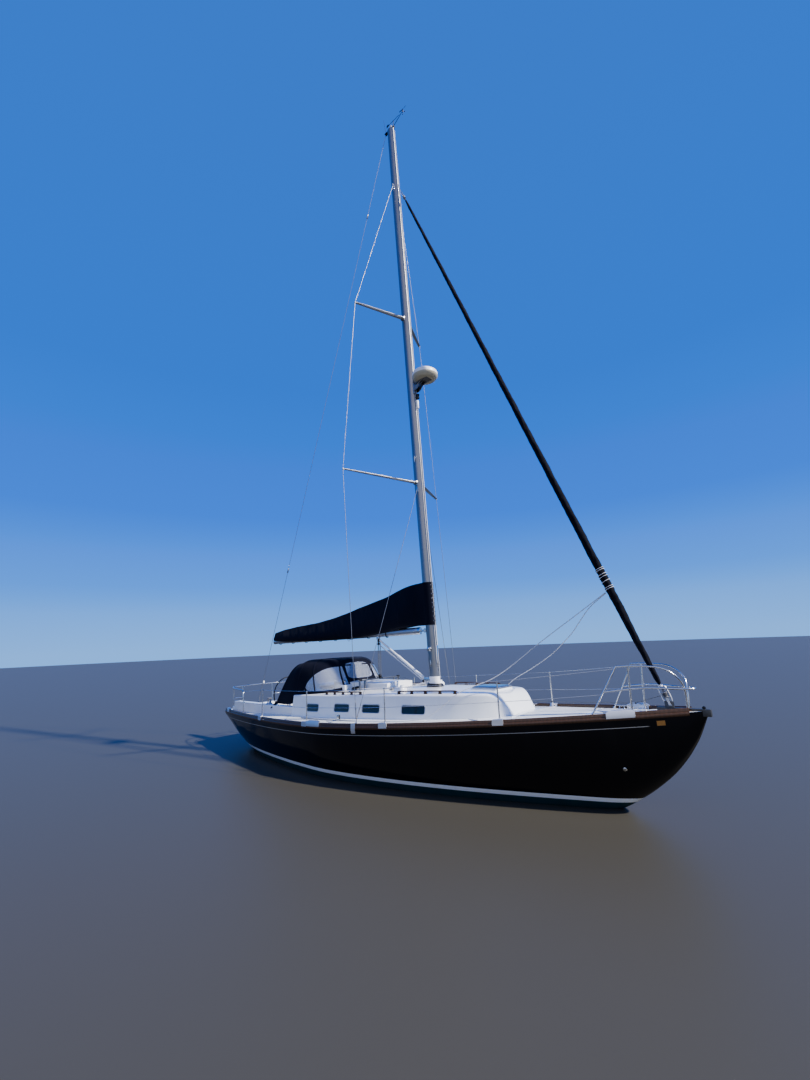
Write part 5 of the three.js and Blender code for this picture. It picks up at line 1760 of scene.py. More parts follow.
def make_furled_sail():
    lean = atan2(FORESTAY[1][0] - FORESTAY[0][0], FORESTAY[0][1] - FORESTAY[1][1])
    ahead, across = Vector((cos(lean), 0, sin(lean))), Vector((0, 1, 0))
    zs = [
        *np.linspace(1.79, 2.2, 26), *np.linspace(2.23, 4.2, 150), *np.linspace(4.22, 13.7, 420),
        *np.linspace(13.72, 13.9, 10)
    ]
    rings, sides = [], 36
    for z in zs:
        base = roll_radius(z)
        seam = 2 * pi * (z / 1.35)
        ring = []
        for k in range(sides):
            a = 2 * pi * k / sides
            wind = (a - seam) % (2 * pi) / (2 * pi)
            r = base * (0.94 + 0.07 * wind)
            r += 0.0018 * sin(3 * a + 9.1 * z) + 0.0012 * sin(5 * a - 17 * z) + 0.0011 * sin(41 * z + 2 * a)
            if 2.95 < z < 3.62:
                r -= 0.0035 * (0.5 + 0.5 * cos((z - 2.95) * 2 * pi / 0.11))
            ring.append(on_stay(z) + ahead * (r * cos(a)) + across * (r * sin(a)))
        rings.append(ring)
    made = Shape().loft(rings).object("furled_headsail", navy_strip, angle=50)
    uv = made.data.uv_layers.new(name="UVMap")
    for poly in made.data.polygons:
        angles = []
        for i in poly.loop_indices:
            p = made.data.vertices[made.data.loops[i].vertex_index].co
            middle = on_stay(p.z)
            angles.append((i, atan2(p.y, (p - middle).dot(ahead)) / (2 * pi), p.z))
        top = max(a for _, a, _ in angles)
        for i, a, z in angles:
            uv.data[i].uv = ((a + 1 if top - a > 0.5 else a) * 0.38, z)
    settle(made, "canvas", "furled_genoa")
    make_forestay(ahead, across)


def make_forestay(ahead, across):
    """The stay with its swivel, and the cord wrapped round the furled sail."""
    lashing = Shape()
    for z0, turns, pitch in ((3.22, 2, 0.03), (3.32, 1, 0.06), (3.41, 2, 0.04), (3.53, 2, 0.028)):
        path = []
        for t in np.linspace(0, turns, turns * 20 + 1):
            z = z0 + pitch * t
            a = 2 * pi * t
            r = roll_radius(z) + 0.0045
            path.append(on_stay(z) + ahead * (r * cos(a)) + across * (r * sin(a)))
        lashing.tube(path, 0.0048, 8)
    settle(along_map(lashing.object("headsail_wraps", white_line)), "fittings")
    stay = Shape().tube([on_stay(1.57), on_stay(14.436)], 0.005, 10)
    stay.tube([on_stay(1.775), on_stay(1.86)], 0.013, 16)
    stay.tube([on_stay(13.85), on_stay(14.2)], 0.0125, 16)
    stay.piece("forestay_wire", wire, "stainless", "forestay")
    swivel = Shape().turned(
        mm(13.5, -60, 30, -55, 34, -30, 28, -20, 28, 0, 34, 10, 34, 40, 13.5, 50), on_stay(13.98),
        -ahead.cross(across), 28,
    )
    swivel.piece("head_swivel", grey_plastic)


def make_drum():
    way = (on_stay(2.5) - on_stay(1.7)).normalized()
    side = way.cross(Vector((0, 1, 0))).normalized()
    profile = mm(5.6, 0, 20, 0, 43, 1, 46, 3, 46, 7, 32, 12, 30.5, 18)
    profile += mm(30.5, 58, 32, 63, 44, 66, 46, 69, 45, 74, 22, 77)
    profile += mm(17.5, 82, 17, 120, 16.5, 170, 15.5, 179, 5.6, 180)
    spool = Shape().turned(profile, on_stay(1.605), way, 40)
    spool.piece("furler_spool", grey_plastic, "fittings", "furler_drum")
    line, path = Shape(), []
    for t in np.linspace(0, 7, 7 * 24 + 1):
        out = side * (0.033 * cos(2 * pi * t)) + Vector((0, 0.033 * sin(2 * pi * t), 0))
        path.append(on_stay(1.605) + way * (0.02 + 0.0052 * t) + out)
    line.tube(path, 0.0026, 7)
    settle(along_map(line.object("furling_line_turns", dark_line)), "fittings")
    # toggle under the drum, and the cage's two bars ahead of it and behind it
    plates = Shape()
    for y in (-0.02, 0.017):
        low, high = on_stay(1.5), on_stay(1.61)
        plates.loft(
            [
                [p + Vector((a * w, y + b, 0)) for a, b in ((-1, 0), (1, 0), (1, 0.003), (-1, 0.003))]
                for p, w in ((low, 0.02), (high, 0.014))
            ]
        )
    plates.turned(mm(0, -28, 7, -27, 7, 27, 0, 28), on_stay(1.53), (0, 1, 0), 16)
    for ahead in (-1, 1):
        bar = [(1.512, 0.034), (1.56, 0.05), (1.6, 0.056), (1.7, 0.056), (1.745, 0.048), (1.765, 0.024)]
        plates.tube(curve_points([on_stay(z) + side * (ahead * out) for z, out in bar], 5), 0.0085, 12)
    plates.turned(mm(17.5, -12, 30, -10, 30, 10, 17.5, 12), on_stay(1.765), way, 24)
    plates.piece("furler_cage", cast, "stainless")


def make_furling_line():
    """The line led aft along the port stanchions, through an eye on each."""
    stops = [on_stay(1.645) + Vector((-0.012, 0.035, 0))]
    for x, inboard in ((4.72, 0.03), *((x, 0.035) for x in STANCHIONS)):
        y = half_beam(x) - 0.07
        stops.append(Vector((x, y - inboard, deck_top(x, y) + 0.09)))
    run = Shape().tube(stops, 0.004, 8)
    settle(along_map(run.object("furling_line", dark_line)), "fittings")
    eyes = Shape()
    for p in stops[1:]:
        ring = [p + Vector((0.0, 0.011 * cos(a), 0.011 * sin(a))) for a in np.linspace(0, 2 * pi, 14)]
        eyes.tube(ring, 0.0035, 8)
        eyes.block(p + Vector((-0.008, 0.006, -0.012)), p + Vector((0.008, 0.03, 0.012)), 0.003)
    eyes.piece("furling_line_eyes", black_plastic)


def make_stem_fitting():
    settle(softened("stemhead_fitting", "stem_fitting", 0.003, dull), "stainless", "stemhead_fitting")
    roller = Shape().turned(mm(0, -24, 20, -24, 13, 0, 20, 24, 0, 24), (5.71, 0, 1.492), (0, 1, 0), 24)
    roller.piece("bow_roller", black_plastic)


def make_sheets():
    """The headsail's two sheets, slack from the clew to the blocks on the side decks."""
    slack = {
        "starboard": [
            (4.152, -0.12, 2.877), (3.715, -0.24, 2.574), (3.362, -0.35, 2.316), (3.025, -0.47, 2.053),
            (2.729, -0.6, 1.86), (2.43, -0.74, 1.74),
        ],
        "port": [
            (4.304, 0.06, 2.984), (4.087, 0.12, 2.768), (3.898, 0.19, 2.577), (3.641, 0.28, 2.38),
            (3.372, 0.38, 2.199), (2.937, 0.52, 1.972), (2.5, 0.69, 1.78),
        ],
    }
    lead = [
        (2.25, 0.86, 1.66), (2.08, 0.94, 1.54), (1.88, 1.03, 1.37), (1.64, 1.12, 1.225), (1.34, 1.2, 1.165),
        (0.8, 1.29, 1.125),
    ]
    lead += [(0.42, 1.325, 1.106), (0.1, 1.34, 1.092), (-0.2, 1.352, 1.083), (-0.39, 1.358, 1.082)]
    for side, word in reversed(SIDES):
        clew = on_stay(3.188) + Vector((-0.09, side * 0.02, 0))
        line = curve_points([clew, *slack[word], *((x, side * y, z) for x, y, z in lead)])
        made = Shape().tube(line, 0.007, 9).object(f"headsail_sheet_{word}", white_line)
        settle(along_map(made), "fittings")


make_furled_sail()
make_drum()
make_furling_line()
make_stem_fitting()
make_sheets()


# Sail cover, drawn round the mast and fastened down its front
COVER = np.array(
    [
        # x, lower edge, top, half-width
        [-4.77, 2.705, 2.93, 0.06],
        [-4.4, 2.68, 2.99, 0.105],
        [-3.7, 2.66, 3.06, 0.125],
        [-2.8, 2.65, 3.12, 0.14],
        [-1.9, 2.66, 3.24, 0.15],
        [-1.1, 2.69, 3.4, 0.165],
        [-0.24, 2.77, 3.57, 0.175],
        [0.4, 2.85, 3.74, 0.165],
        [0.64, 2.87, 3.765, 0.12],
    ]
)


def cover_section(x, count=34):
    """Half the cover's girth at x, from its lower edge up to the ridge: (y, z) pairs."""
    low, top, half = (float(smooth_row(COVER, c, x)) for c in (1, 2, 3))
    high = top - low
    ys = np.array([0.30, 0.72, 0.97, 1.0, 0.86, 0.62, 0.40, 0.24, 0.12, 0.04]) * half
    zs = low + high * np.array([0.0, 0.02, 0.14, 0.28, 0.45, 0.62, 0.77, 0.88, 0.96, 1.0])
    t = np.linspace(0, 1, len(ys))
    fine = np.linspace(0, 1, count)
    return [(float(np.interp(f, t, ys)), float(np.interp(f, t, zs))) for f in fine]


def make_sail_cover():
    xs = np.linspace(-4.77, 0.60, 190)
    columns = []
    for x in xs:
        half = cover_section(x)
        for _ in range(3):
            inner = zip(half, half[1:], half[2:])
            half = [half[0], *(tuple((a[k] + 2 * b[k] + c[k]) / 4 for k in (0, 1)) for a, b, c in inner), half[-1]]
        columns.append([(x, -y, z) for y, z in half] + [(x, y, z) for y, z in reversed(half)])
    # the front part goes on round the mast
    wraps = []
    for t in np.linspace(0, 1, 23)[1:]:
        a = radians(178 - 167 * t**0.9)
        share = min(1, t * 3)
        share = share * share * (3 - 2 * share)
        ring = []
        for x, y, z in columns[-1]:
            target = Vector((mast_x(z) + 0.134 * cos(a), copysign(0.096 * sin(a), y), z))
            ring.append(tuple(Vector((x, y, z)).lerp(target, share)))
        wraps.append(ring)
    rows = columns + wraps
    count = len(rows[0])
    points = []
    for i, row in enumerate(rows):
        for j, (x, y, z) in enumerate(row):
            share = j / (count - 1)
            side = 1 if share > 0.5 else -1
            high = 1 - abs(2 * share - 1)
            if i < len(columns):
                fold = 0.004 * sin(7.3 * x + 5.2 * z + side) + 0.003 * sin(15.1 * x - 9 * z * side + 1.7)
                fold += 0.002 * sin(31 * x + 21 * z + 2 * side)
                sag = 0.005 * abs(sin(pi * x / 0.62))
                rim = sin(pi * min(1, high * 1.15))
                y += side * fold * rim
                z -= sag * high**3
            points.append((x, y, z))
    faces = []
    for i in range(len(rows) - 1):
        for j in range(count - 1):
            a = i * count + j
            faces.append((a, a + count, a + count + 1, a + 1))
    mesh = bpy.data.meshes.new("sail_cover_cloth")
    mesh.from_pydata(points, [], faces)
    mesh.materials.append(navy_canvas)
    uv = mesh.uv_layers.new(name="UVMap")
    starts = range(0, len(points), count)
    along = running_length([points[i + 6] for i in starts])
    round_at = [running_length(points[i : i + count]) for i in starts]
    flat = [(along[v // count], round_at[v // count][v % count]) for v in (loop.vertex_index for loop in mesh.loops)]
    uv.data.foreach_set("uv", [c for pair in flat for c in pair])
    made = linked("sail_cover_cloth", mesh)
    thick = made.modifiers.new("thickness", "SOLIDIFY")
    thick.thickness, thick.offset = 0.003, 1
    evaluated(made)
    smooth(made, 60)
    settle(made, "canvas", "sail_cover", "sail_cover_collar", body=None)
    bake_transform(made)
    return columns


def make_cover_details(columns):
    """Hem, panel seams and lashings under the boom."""
    seams = []
    for j in (2, 31, 36, len(columns[0]) - 3):
        line = [Vector(row[j]) for row in columns[::2]]
        side = -1 if j < 34 else 1
        lift = [Vector((p.x, p.y + side * 0.008, p.z)) for p in line]
        seams.append((lift, Vector((0, side, 0.2))))
    for x in (-3.7, -2.3, -0.9, 0.2):
        row = min(columns, key=lambda r: abs(r[0][0] - x))
        for j0, j1 in ((2, 31), (36, len(row) - 3)):
            side = -1 if j0 < 34 else 1
            seams.append(([Vector((p[0], p[1] + side * 0.009, p[2])) for p in row[j0:j1]], Vector((0, side, 0.1))))
    threads = row_of("cover_stitches", stitch(0.007, 0.0012), seams, 0.014, navy_thread)
    settle(threads, "fittings", body="boom")
    straps, hooks = Shape(), Shape()
    for x in np.arange(-4.5, 0.3, 0.6):
        half = cover_section(x)[0]
        y, z = half[0] + 0.01, half[1] + 0.012
        under = min(z, boom_z(x) - 0.082) - 0.004
        path = [
            (x, -y - 0.006, z + 0.05), (x, -y, z), (x, -0.03, under), (x, 0.03, under), (x, y, z),
            (x, y + 0.006, z + 0.05),
        ]
        rings = []
        for p in curve_points(path, 5):
            rings.append(
                [(p.x + a, p.y, p.z + b) for a, b in ((-0.012, 0), (0.012, 0), (0.012, 0.0022), (-0.012, 0.0022))]
            )
        straps.loft(rings)
        hooks.block((x - 0.018, -0.024, under - 0.006), (x + 0.018, 0.024, under + 0.006), 0.003)
    straps.piece("cover_straps", navy_canvas, "canvas", body="boom")
    hooks.piece("cover_buckles", black_plastic, body="boom")


def make_cover_front():
    """Ties and turn buttons down the cover's front."""
    ties, front = Shape(), Shape()
    for z in np.linspace(2.95, 3.7, 9):
        place = lambda a, out: Vector((mast_x(z) + (0.134 + out) * cos(a), (0.096 + out) * sin(a), z))
        turns = np.radians(np.linspace(-26, 26, 12))
        ties.loft(
            [
                [
                    place(a, out) + UP * up
                    for out, up in ((0.001, -0.014), (0.0045, -0.012), (0.0045, 0.012), (0.001, 0.014))
                ]
                for a in turns
            ]
        )
        for a in (-0.4, 0.4):
            out = Vector((cos(a), sin(a), 0))
            front.turned(mm(0, 6, 6, 5, 9.5, 2, 9.5, -1), place(a, 0.0045), out, 14)
    ties.piece("cover_front_ties", navy_binding, "canvas")
    front.piece("cover_front_buttons", steel)


make_cover_details(make_sail_cover())
make_cover_front()


# Dodger: one cloth over its hoops, with clear windows let in
DODGER = np.array(
    [
        # share along, x at the foot, x at the top, half-width, foot height, top height, roundness
        [0, -1.04, -1.44, 0.59, 1.52, 2.19, 0.35],
        [0.12, -1.24, -1.59, 0.8, 1.495, 2.215, 0.31],
        [0.33, -1.65, -1.85, 0.96, 1.45, 2.22, 0.26],
        [0.6, -2.35, -2.15, 1.03, 1.25, 2.205, 0.2],
        [1, -3.15, -2.48, 1.0, 1.195, 2.13, 0.2],
    ]
)
SIDE_WINDOW = [
    (-1.09, 1.76), (-1.2, 2.0), (-1.3, 2.06), (-1.5, 2.03), (-1.74, 1.9), (-1.93, 1.72), (-1.99, 1.6), (-1.9, 1.525),
    (-1.6, 1.525), (-1.3, 1.56), (-1.07, 1.6),
]
FRONT_WINDOW = [(-0.4, 1.76), (0.4, 1.76), (0.36, 2.12), (-0.36, 2.12)]


def dodger_point(share, turn, grow=0.0):
    back, over, half, foot, top, rounding = (float(smooth_row(DODGER, c, share)) for c in range(1, 7))
    lift = sin(turn) ** (0.25 + 1.7 * rounding) if turn > 0 else 0
    return Vector(
        (
            back + (over - back) * lift, (half + grow) * max(cos(turn), 0) ** rounding,
            foot + (top + grow - foot) * lift,
        )
    )


def cloth_object(name, points, faces, flat_map, finish, thick):
    mesh = bpy.data.meshes.new(name)
    mesh.from_pydata([tuple(p) for p in points], [], faces)
    mesh.materials.append(finish)
    uv = mesh.uv_layers.new(name="UVMap")
    uv.data.foreach_set("uv", [c for loop in mesh.loops for c in flat_map[loop.vertex_index]])
    turned = bmesh.new()
    turned.from_mesh(mesh)
    bmesh.ops.recalc_face_normals(turned, faces=turned.faces)
    turned.to_mesh(mesh)
    turned.free()
    made = linked(name, mesh)
    change = made.modifiers.new("thickness", "SOLIDIFY")
    change.thickness, change.offset = thick, 0
    return evaluated(made)


def dodger_cloth(name, grow, thick, finish):
    """The hood's rings and the front panel that closes the first of them."""
    turns = (pi / 2) * (1 - (1 - np.linspace(0, 1, 25)) ** 1.5)
    shares = [0, 0.02, 0.05, 0.09, *np.linspace(0.13, 0.97, 34), 0.985, 1]
    points, flat_map, faces = [], [], []
    wide = 2 * len(turns) - 1
    for s in shares:
        for k in range(wide):
            left = k < len(turns)
            turn = turns[k] if left else turns[wide - 1 - k]
            p = dodger_point(s, turn, grow)
            p.y = -p.y if left else p.y
            between = sin(pi * min(1, max(0, (s - 0.05) / 0.55))) if s < 0.6 else sin(pi * (s - 0.6) / 0.4)
            p.z -= 0.012 * max(0, between) * sin(turn) ** 2
            p.z += 0.0025 * sin(9 * p.y + 14 * s) * sin(turn)
            points.append(p)
            flat_map.append((s * 1.75, (k / (wide - 1) - 0.5) * 3.2))
    rows = len(shares)
    for i in range(rows - 1):
        for k in range(wide - 1):
            a = i * wide + k
            faces.append((a, a + 1, a + wide + 1, a + wide))
    # front panel between the two halves of the first ring
    across = 16
    index = {}
    for k in range(len(turns)):
        a, b = points[k], points[wide - 1 - k]
        for m in range(across + 1):
            if m == 0 or m == across or k == len(turns) - 1:
                index[k, m] = k if (m == 0 or k == len(turns) - 1) else wide - 1 - k
                continue
            t = m / across
            p = Vector(a).lerp(Vector(b), t)
            out = 0.03 * sin(pi * t) * sin(pi * min(1, 0.15 + 0.85 * k / len(turns)))
            p += Vector((0.86, 0, 0.51)) * out
            index[k, m] = len(points)
            points.append(p)
            flat_map.append((-(p.z - 1.52), p.y))
    for k in range(len(turns) - 1):
        for m in range(across):
            face = [index[k, m], index[k, m + 1], index[k + 1, m + 1], index[k + 1, m]]
            face = [v for n, v in enumerate(face) if v not in face[:n]]
            faces.append(tuple(reversed(face)))
    return cloth_object(name, points, faces, flat_map, finish, thick), points, faces


def smooth_outline(points, steps=6):
    """A closed outline with rounded corners through or near its points."""
    count = len(points)
    made = []
    for i in range(count):
        a, b, c = (Vector((*points[(i + k) % count], 0)) for k in (-1, 0, 1))
        start, end = b.lerp(a, 0.28), b.lerp(c, 0.28)
        for t in np.linspace(0, 1, steps):
            p = start.lerp(b, t).lerp(b.lerp(end, t), t)
            made.append((p.x, p.y))
    return made


def grown(outline, by):
    middle = (sum(p[0] for p in outline) / len(outline), sum(p[1] for p in outline) / len(outline))
    made = []
    for p in outline:
        way = Vector((p[0] - middle[0], p[1] - middle[1]))
        way = way * (1 + by / way.length)
        made.append((middle[0] + way.x, middle[1] + way.y))
    return made


def window_prisms(grow):
    """Cutters for the two side windows and the one in front."""
    side, front = grown(smooth_outline(SIDE_WINDOW), grow), grown(smooth_outline(FRONT_WINDOW), grow)
    made = []
    for s in (1, -1):
        made.append(
            Shape().loft([[(x, s * y, z) for x, z in side] for y in (0.45, 1.3)]).object("window_cutter", pane)
        )
    made.append(Shape().loft([[(x, y, z) for y, z in front] for x in (-1.75, -0.8)]).object("window_cutter", pane))
    return made


def make_dodger():
    cloth, points, faces = dodger_cloth("dodger_cloth", 0.0, 0.004, navy_canvas)
    cut(cloth, *window_prisms(0))
    smooth(cloth, 50)
    settle(cloth, "canvas", "dodger")
    clear, _, _ = dodger_cloth("window_film", -0.0035, 0.0012, vinyl)
    panes = []
    for cutter in window_prisms(0.018):
        piece = clear.copy()
        piece.data = clear.data.copy()
        scene.collection.objects.link(piece)
        panes.append(smooth(cut(piece, cutter, how="INTERSECT"), 50))
    bpy.data.objects.remove(clear)
    for name, piece in zip(("port", "starboard", "front"), panes):
        piece.name = f"dodger_window_{name}"
        settle(piece, "smoked")
    return BVHTree.FromPolygons(points, faces)


def laid_on(tree, outline, start, way):
    """Outline points thrown onto the cloth along a direction: places and normals."""
    places, ups = [], []
    for p in outline:
        place, normal, _, _ = tree.ray_cast(start(p), way)
        if place is None:
            continue
        places.append(place)
        ups.append(normal if normal.dot(way) < 0 else -normal)
    return places, ups


def strip(made, places, ups, wide, thick=0.003, lift=0.002):
    """A flat band along points on the cloth."""
    rings = []
    for i, (p, up) in enumerate(zip(places, ups)):
        ahead = (places[min(i + 1, len(places) - 1)] - places[max(i - 1, 0)]).normalized()
        side = ahead.cross(up).normalized()
        rings.append(
            [
                p + side * a + up * b
                for a, b in (
                    (-wide / 2, lift - 0.002), (-wide * 0.42, lift + thick), (wide * 0.42, lift + thick),
                    (wide / 2, lift - 0.002),
                )
            ]
        )
    return made.loft(rings)


def make_dodger_bindings(tree):
    """Bindings round the windows and along the hoops, with their stitches."""
    edges, seams = Shape(), []
    for side in (1, -1):
        outline = grown(smooth_outline(SIDE_WINDOW, 8), 0.012)
        start, way = lambda p: Vector((p[0], side * 1.4, p[1])), Vector((0, -side, 0))
        strip(edges, *laid_on(tree, outline + outline[:2], start, way), 0.03)
        outline = grown(outline, 0.006)
        seams.append(laid_on(tree, outline + outline[:1], start, way))
    outline = grown(smooth_outline(FRONT_WINDOW, 8), 0.012)
    places, ups = laid_on(tree, outline + outline[:2], lambda p: Vector((-0.6, p[0], p[1])), Vector((-1, 0, 0)))
    strip(edges, places, ups, 0.03)
    seams.append((places, ups))
    for s, wide in ((0.0, 0.034), (0.335, 0.03), (0.6, 0.04), (0.99, 0.045)):
        places = []
        for turn in np.linspace(-pi / 2 + 0.002, pi / 2 - 0.002, 70):
            t = pi / 2 - abs(turn)
            p = dodger_point(s, t, 0.001)
            p.y *= 1 if turn > 0 else -1
            places.append(p)
        ups = []
        for p in places:
            normal = tree.find_nearest(p)[1]
            out = p - Vector((-1.9, 0, 1.5))
            ups.append(normal if normal.dot(out) > 0 else -normal)
        strip(edges, places, ups, wide)
        for away in (-wide * 0.36, wide * 0.36):
            line = [p + Vector((away, 0, 0)) + u * 0.0055 for p, u in zip(places, ups)]
            seams.append((line, ups))
    edges.piece("dodger_bindings", navy_binding, "canvas")
    lines = [
        ([p + u * 0.0052 for p, u in zip(line, ups)] if i < 3 else line, ups)
        for i, (line, ups) in enumerate(seams)
    ]
    settle(row_of("dodger_stitches", stitch(0.007, 0.0011), lines, 0.012, navy_thread), "fittings")


def make_dodger_buttons(tree):
    buttons = Shape()
    for side in (1, -1):
        for s in (0.03, 0.16, 0.27, 0.38, 0.47, 0.55):
            p = dodger_point(s, 0.10, 0.003)
            p.y *= side
            near, normal = tree.find_nearest(p)[:2]
            normal = normal if normal.y * side > 0 else -normal
            buttons.turned(mm(0, 6, 5, 5.5, 8.5, 2, 9, -2), near + normal * 0.003, normal, 14)
    buttons.piece("dodger_buttons", steel)


def make_dodger_hoops():
    """Two bent tubes: the forward one stands on the coachroof and the after one on the coaming."""
    made = Shape()
    for s, inside, low in ((0.335, -0.02, 1.5), (0.645, -0.045, 1.38)):
        line = [dodger_point(s, turn, inside) for turn in np.linspace(0.02, pi / 2, 26)]
        line = [p for p in line if p.z > low]
        x, y, _ = line[0]
        on_roof = (x + 0.02, y - 0.01, roof_z(x, y) + 0.003)
        line.insert(0, Vector(on_roof if s < 0.5 else (-2.43, 0.968, 1.158)))
        line += mirrored(line)
        made.tube(line, 0.012, 14)
        for end in (line[0], line[-1]):
            made.turned(mm(30, -1, 30, 4, 18, 7, 16.5, 30, 12, 32), end, (0, 0, 1), 20)
    made.piece("dodger_hoops", steel, "stainless", "dodger_frame")


def make_dodger_straps():
    webbing, eyes = Shape(), Shape()
    for side in (1, -1):
        start, end = Vector((-3.1, side * 1.0, 1.235)), Vector((-3.317, side * 1.037, 1.088))
        across = Vector((0.56, 0, -0.83))
        rings = []
        for t in np.linspace(0, 1, 8):
            p, wide = start.lerp(end, t), 0.05 - 0.037 * t**0.7
            rings.append(
                [
                    p + across * (a * wide) + Vector((0, b, 0))
                    for a, b in ((-1, -0.0015), (1, -0.0015), (1, 0.0015), (-1, 0.0015))
                ]
            )
        webbing.loft(rings)
        eyes.turned(mm(4, 0, 15, 0, 15, 4, 9, 7, 4, 5), (-3.32, side * 1.031, 1.085), (0, side, 0), 18)
    eyes.piece("dodger_strap_eyes", steel)
    webbing.piece("dodger_straps", navy_binding, "canvas")


dodger_tree = make_dodger()
make_dodger_bindings(dodger_tree)
make_dodger_buttons(dodger_tree)
make_dodger_hoops()
make_dodger_straps()


# Rails round the deck
def on_deck(x, inboard, side=1, up=0.0):
    y = half_beam(x) - inboard
    return Vector((x, side * y, deck_top(x, y) + up))


def foot_plate(made, place, lean=(0, 0, 1)):
    made.turned(mm(34, 0, 34, 4, 20, 8, 16.5, 30, 12.7, 34), place, lean, 20)


def make_bow_pulpit():
    made = Shape()
    low, high = on_deck(4.33, 0.075), on_deck(4.725, 0.07, 1, 0.69)
    middle = low.lerp(high, 0.5)
    front = on_deck(5.515, half_beam(5.515) - 0.055)
    bend = [high, (5.0, 0.32, 2.065), (5.3, 0.245, 2.035), (5.48, 0.17, 1.9), (5.525, 0.08, 1.72), front]
    lower = [middle, (5.0, 0.3, 1.755), (5.48, 0.14, 1.745), (5.61, 0.06, 1.745), (5.64, 0, 1.745)]
    second = on_deck(4.86, 0.07)
    made.tube(curve_points(lower + mirrored(lower)), *RAIL_TUBE)
    for turn in (lambda p: Vector(p), lambda p: Vector((p[0], -p[1], p[2]))):
        made.tube(curve_points([turn(p) for p in [low + (high - low) * 0.001, middle, high]], 4), *RAIL_TUBE)
        made.tube(curve_points([turn(p) for p in bend]), *RAIL_TUBE)
        foot_plate(made, turn(low))
        foot_plate(made, turn(front))
        made.tube([turn(second), turn(curve_points(bend)[5])], *RAIL_TUBE)
        foot_plate(made, turn(second))
    made.piece("pulpit_rails", steel, "stainless", "bow_pulpit", angle=50)


def make_pushpit():
    made = Shape()
    foot = on_deck(-4.35, 0.075)
    half = [
        foot, on_deck(-4.36, 0.075, 1, 0.3), on_deck(-4.42, 0.075, 1, 0.555), (-4.75, 1.1, 1.478),
        (-5.2, 0.99, 1.485), (-5.5, 0.85, 1.485), (-5.61, 0.72, 1.485), (-5.65, 0.4, 1.488), (-5.66, 0, 1.49),
    ]
    made.tube(curve_points(half + mirrored(half)), *RAIL_TUBE)
    for side in (1, -1):
        foot_plate(made, on_deck(-4.35, 0.075, side))
        post = on_deck(-5.2, 0.075, side)
        made.tube([post, (-5.2, side * 0.99, 1.485)], *RAIL_TUBE)
        foot_plate(made, post)
        base = Vector((-5.6, side * 0.48, deck_top(-5.6, 0.48)))
        made.tube([base, (-5.645, side * 0.48, 1.486)], *RAIL_TUBE)
        foot_plate(made, base)
        made.tube(
            curve_points(
                [
                    (-5.2, side * 0.99, 1.18), (-5.5, side * 0.83, 1.18), (-5.6, side * 0.7, 1.18),
                    (-5.625, side * 0.48, 1.18),
                ],
                6,
            ),
            0.010, 12,
        )
        made.tube([on_deck(-4.39, 0.075, side, 0.28), (-5.2, side * 0.99, 1.18)], 0.004, 8)
    made.piece("pushpit_rails", steel, "stainless", "stern_pushpit", angle=50)
    lamp = Shape().turned(mm(0, -30, 24, -30, 26, -20, 26, 25, 16, 35, 0, 36), (-5.655, 0.2, 1.535), sides=22)
    lamp.piece("stern_light", dome_white)


def make_lifelines():
    for side, word in SIDES:
        made, bases = Shape(), Shape()
        for x in STANCHIONS:
            low, high = on_deck(x, 0.07, side), on_deck(x, 0.07, side, 0.645)
            made.tube(
                [low + UP * 0.02, low.lerp(high, 0.5), high - UP * 0.004, high], [0.0125, 0.012, 0.0112, 0.006], 16
            )
            bases.turned(mm(36, 0, 36, 6, 24, 12, 21, 58, 16.5, 62, 12.5, 62), low, (0, 0, 1), 24)
            profile = mm(-13.5, -30, -13.5, 56, -8, 62, 34, 63, 40, 56, 46, 20, 58, 12)
            profile += mm(105, 10, 105, -20, 0, -30)
            rings = []
            for along, share in ((-0.085, 0.5), (-0.078, 1), (0.078, 1), (0.085, 0.5)):
                rings.append([rail_line(x + along, side, a, b * share if b > 0 else b) for a, b in profile])
            bases.loft(rings)
        ends = [on_deck(4.7, 0.07, side, 0.66), on_deck(-4.4, 0.075, side, 0.55)]
        lows = [on_deck(4.52, 0.075, side, 0.31), on_deck(-4.38, 0.075, side, 0.29)]
        for up, (fore, aft) in ((0.63, ends), (0.31, lows)):
            points = [fore] + [on_deck(x, 0.07, side, up) for x in STANCHIONS] + [aft]
            line = []
            for a, b in zip(points, points[1:]):
                line += sagging(a, b, 0.006, 8)[:-1]
            made.tube(line + [points[-1]], 0.0035, 8)
            for p in points[1:-1]:
                made.tube([p - Vector((0.02, 0, 0)), p + Vector((0.02, 0, 0))], 0.006, 10)
            turnbuckle(made, points[-1].lerp(points[-2], 0.02), points[-2], 0.16, 0.007)
        made.piece(f"guard_wires_{word}", steel, "stainless", f"lifelines_{word}")
        bases.piece(f"stanchion_bases_{word}", cast, "stainless")


make_bow_pulpit()
make_pushpit()
make_lifelines()


# Hatches, sea hood, washboards and handrails
def crowned(made, x0, x1, half, low, thick, rise, corner=0.02):
    """A slab curved across, with its plan corners and edges rounded."""
    rings = []
    xs = [
        x0, x0 + corner * 0.3, x0 + corner, *np.linspace(x0 + corner, x1 - corner, 9)[1:-1], x1 - corner,
        x1 - corner * 0.3, x1,
    ]
    for x in xs:
        near = min(x - x0, x1 - x)
        pull = corner - sqrt(max(0, corner**2 - max(0, corner - near) ** 2))
        wide = half - pull
        edge = min(0.006, thick * 0.3) if near < corner * 0.2 else 0
        top = [
            (x, wide * s, low + rise * (1 - s * s) + thick - edge - (0.004 if abs(s) == 1 else 0))
            for s in (-1, -0.985, *np.linspace(-0.9, 0.9, 15), 0.985, 1)
        ]
        under = [(x, y, z - thick + 2 * edge) for _, y, z in reversed(top)]
        rings.append(top + under)
    return made.loft(rings)


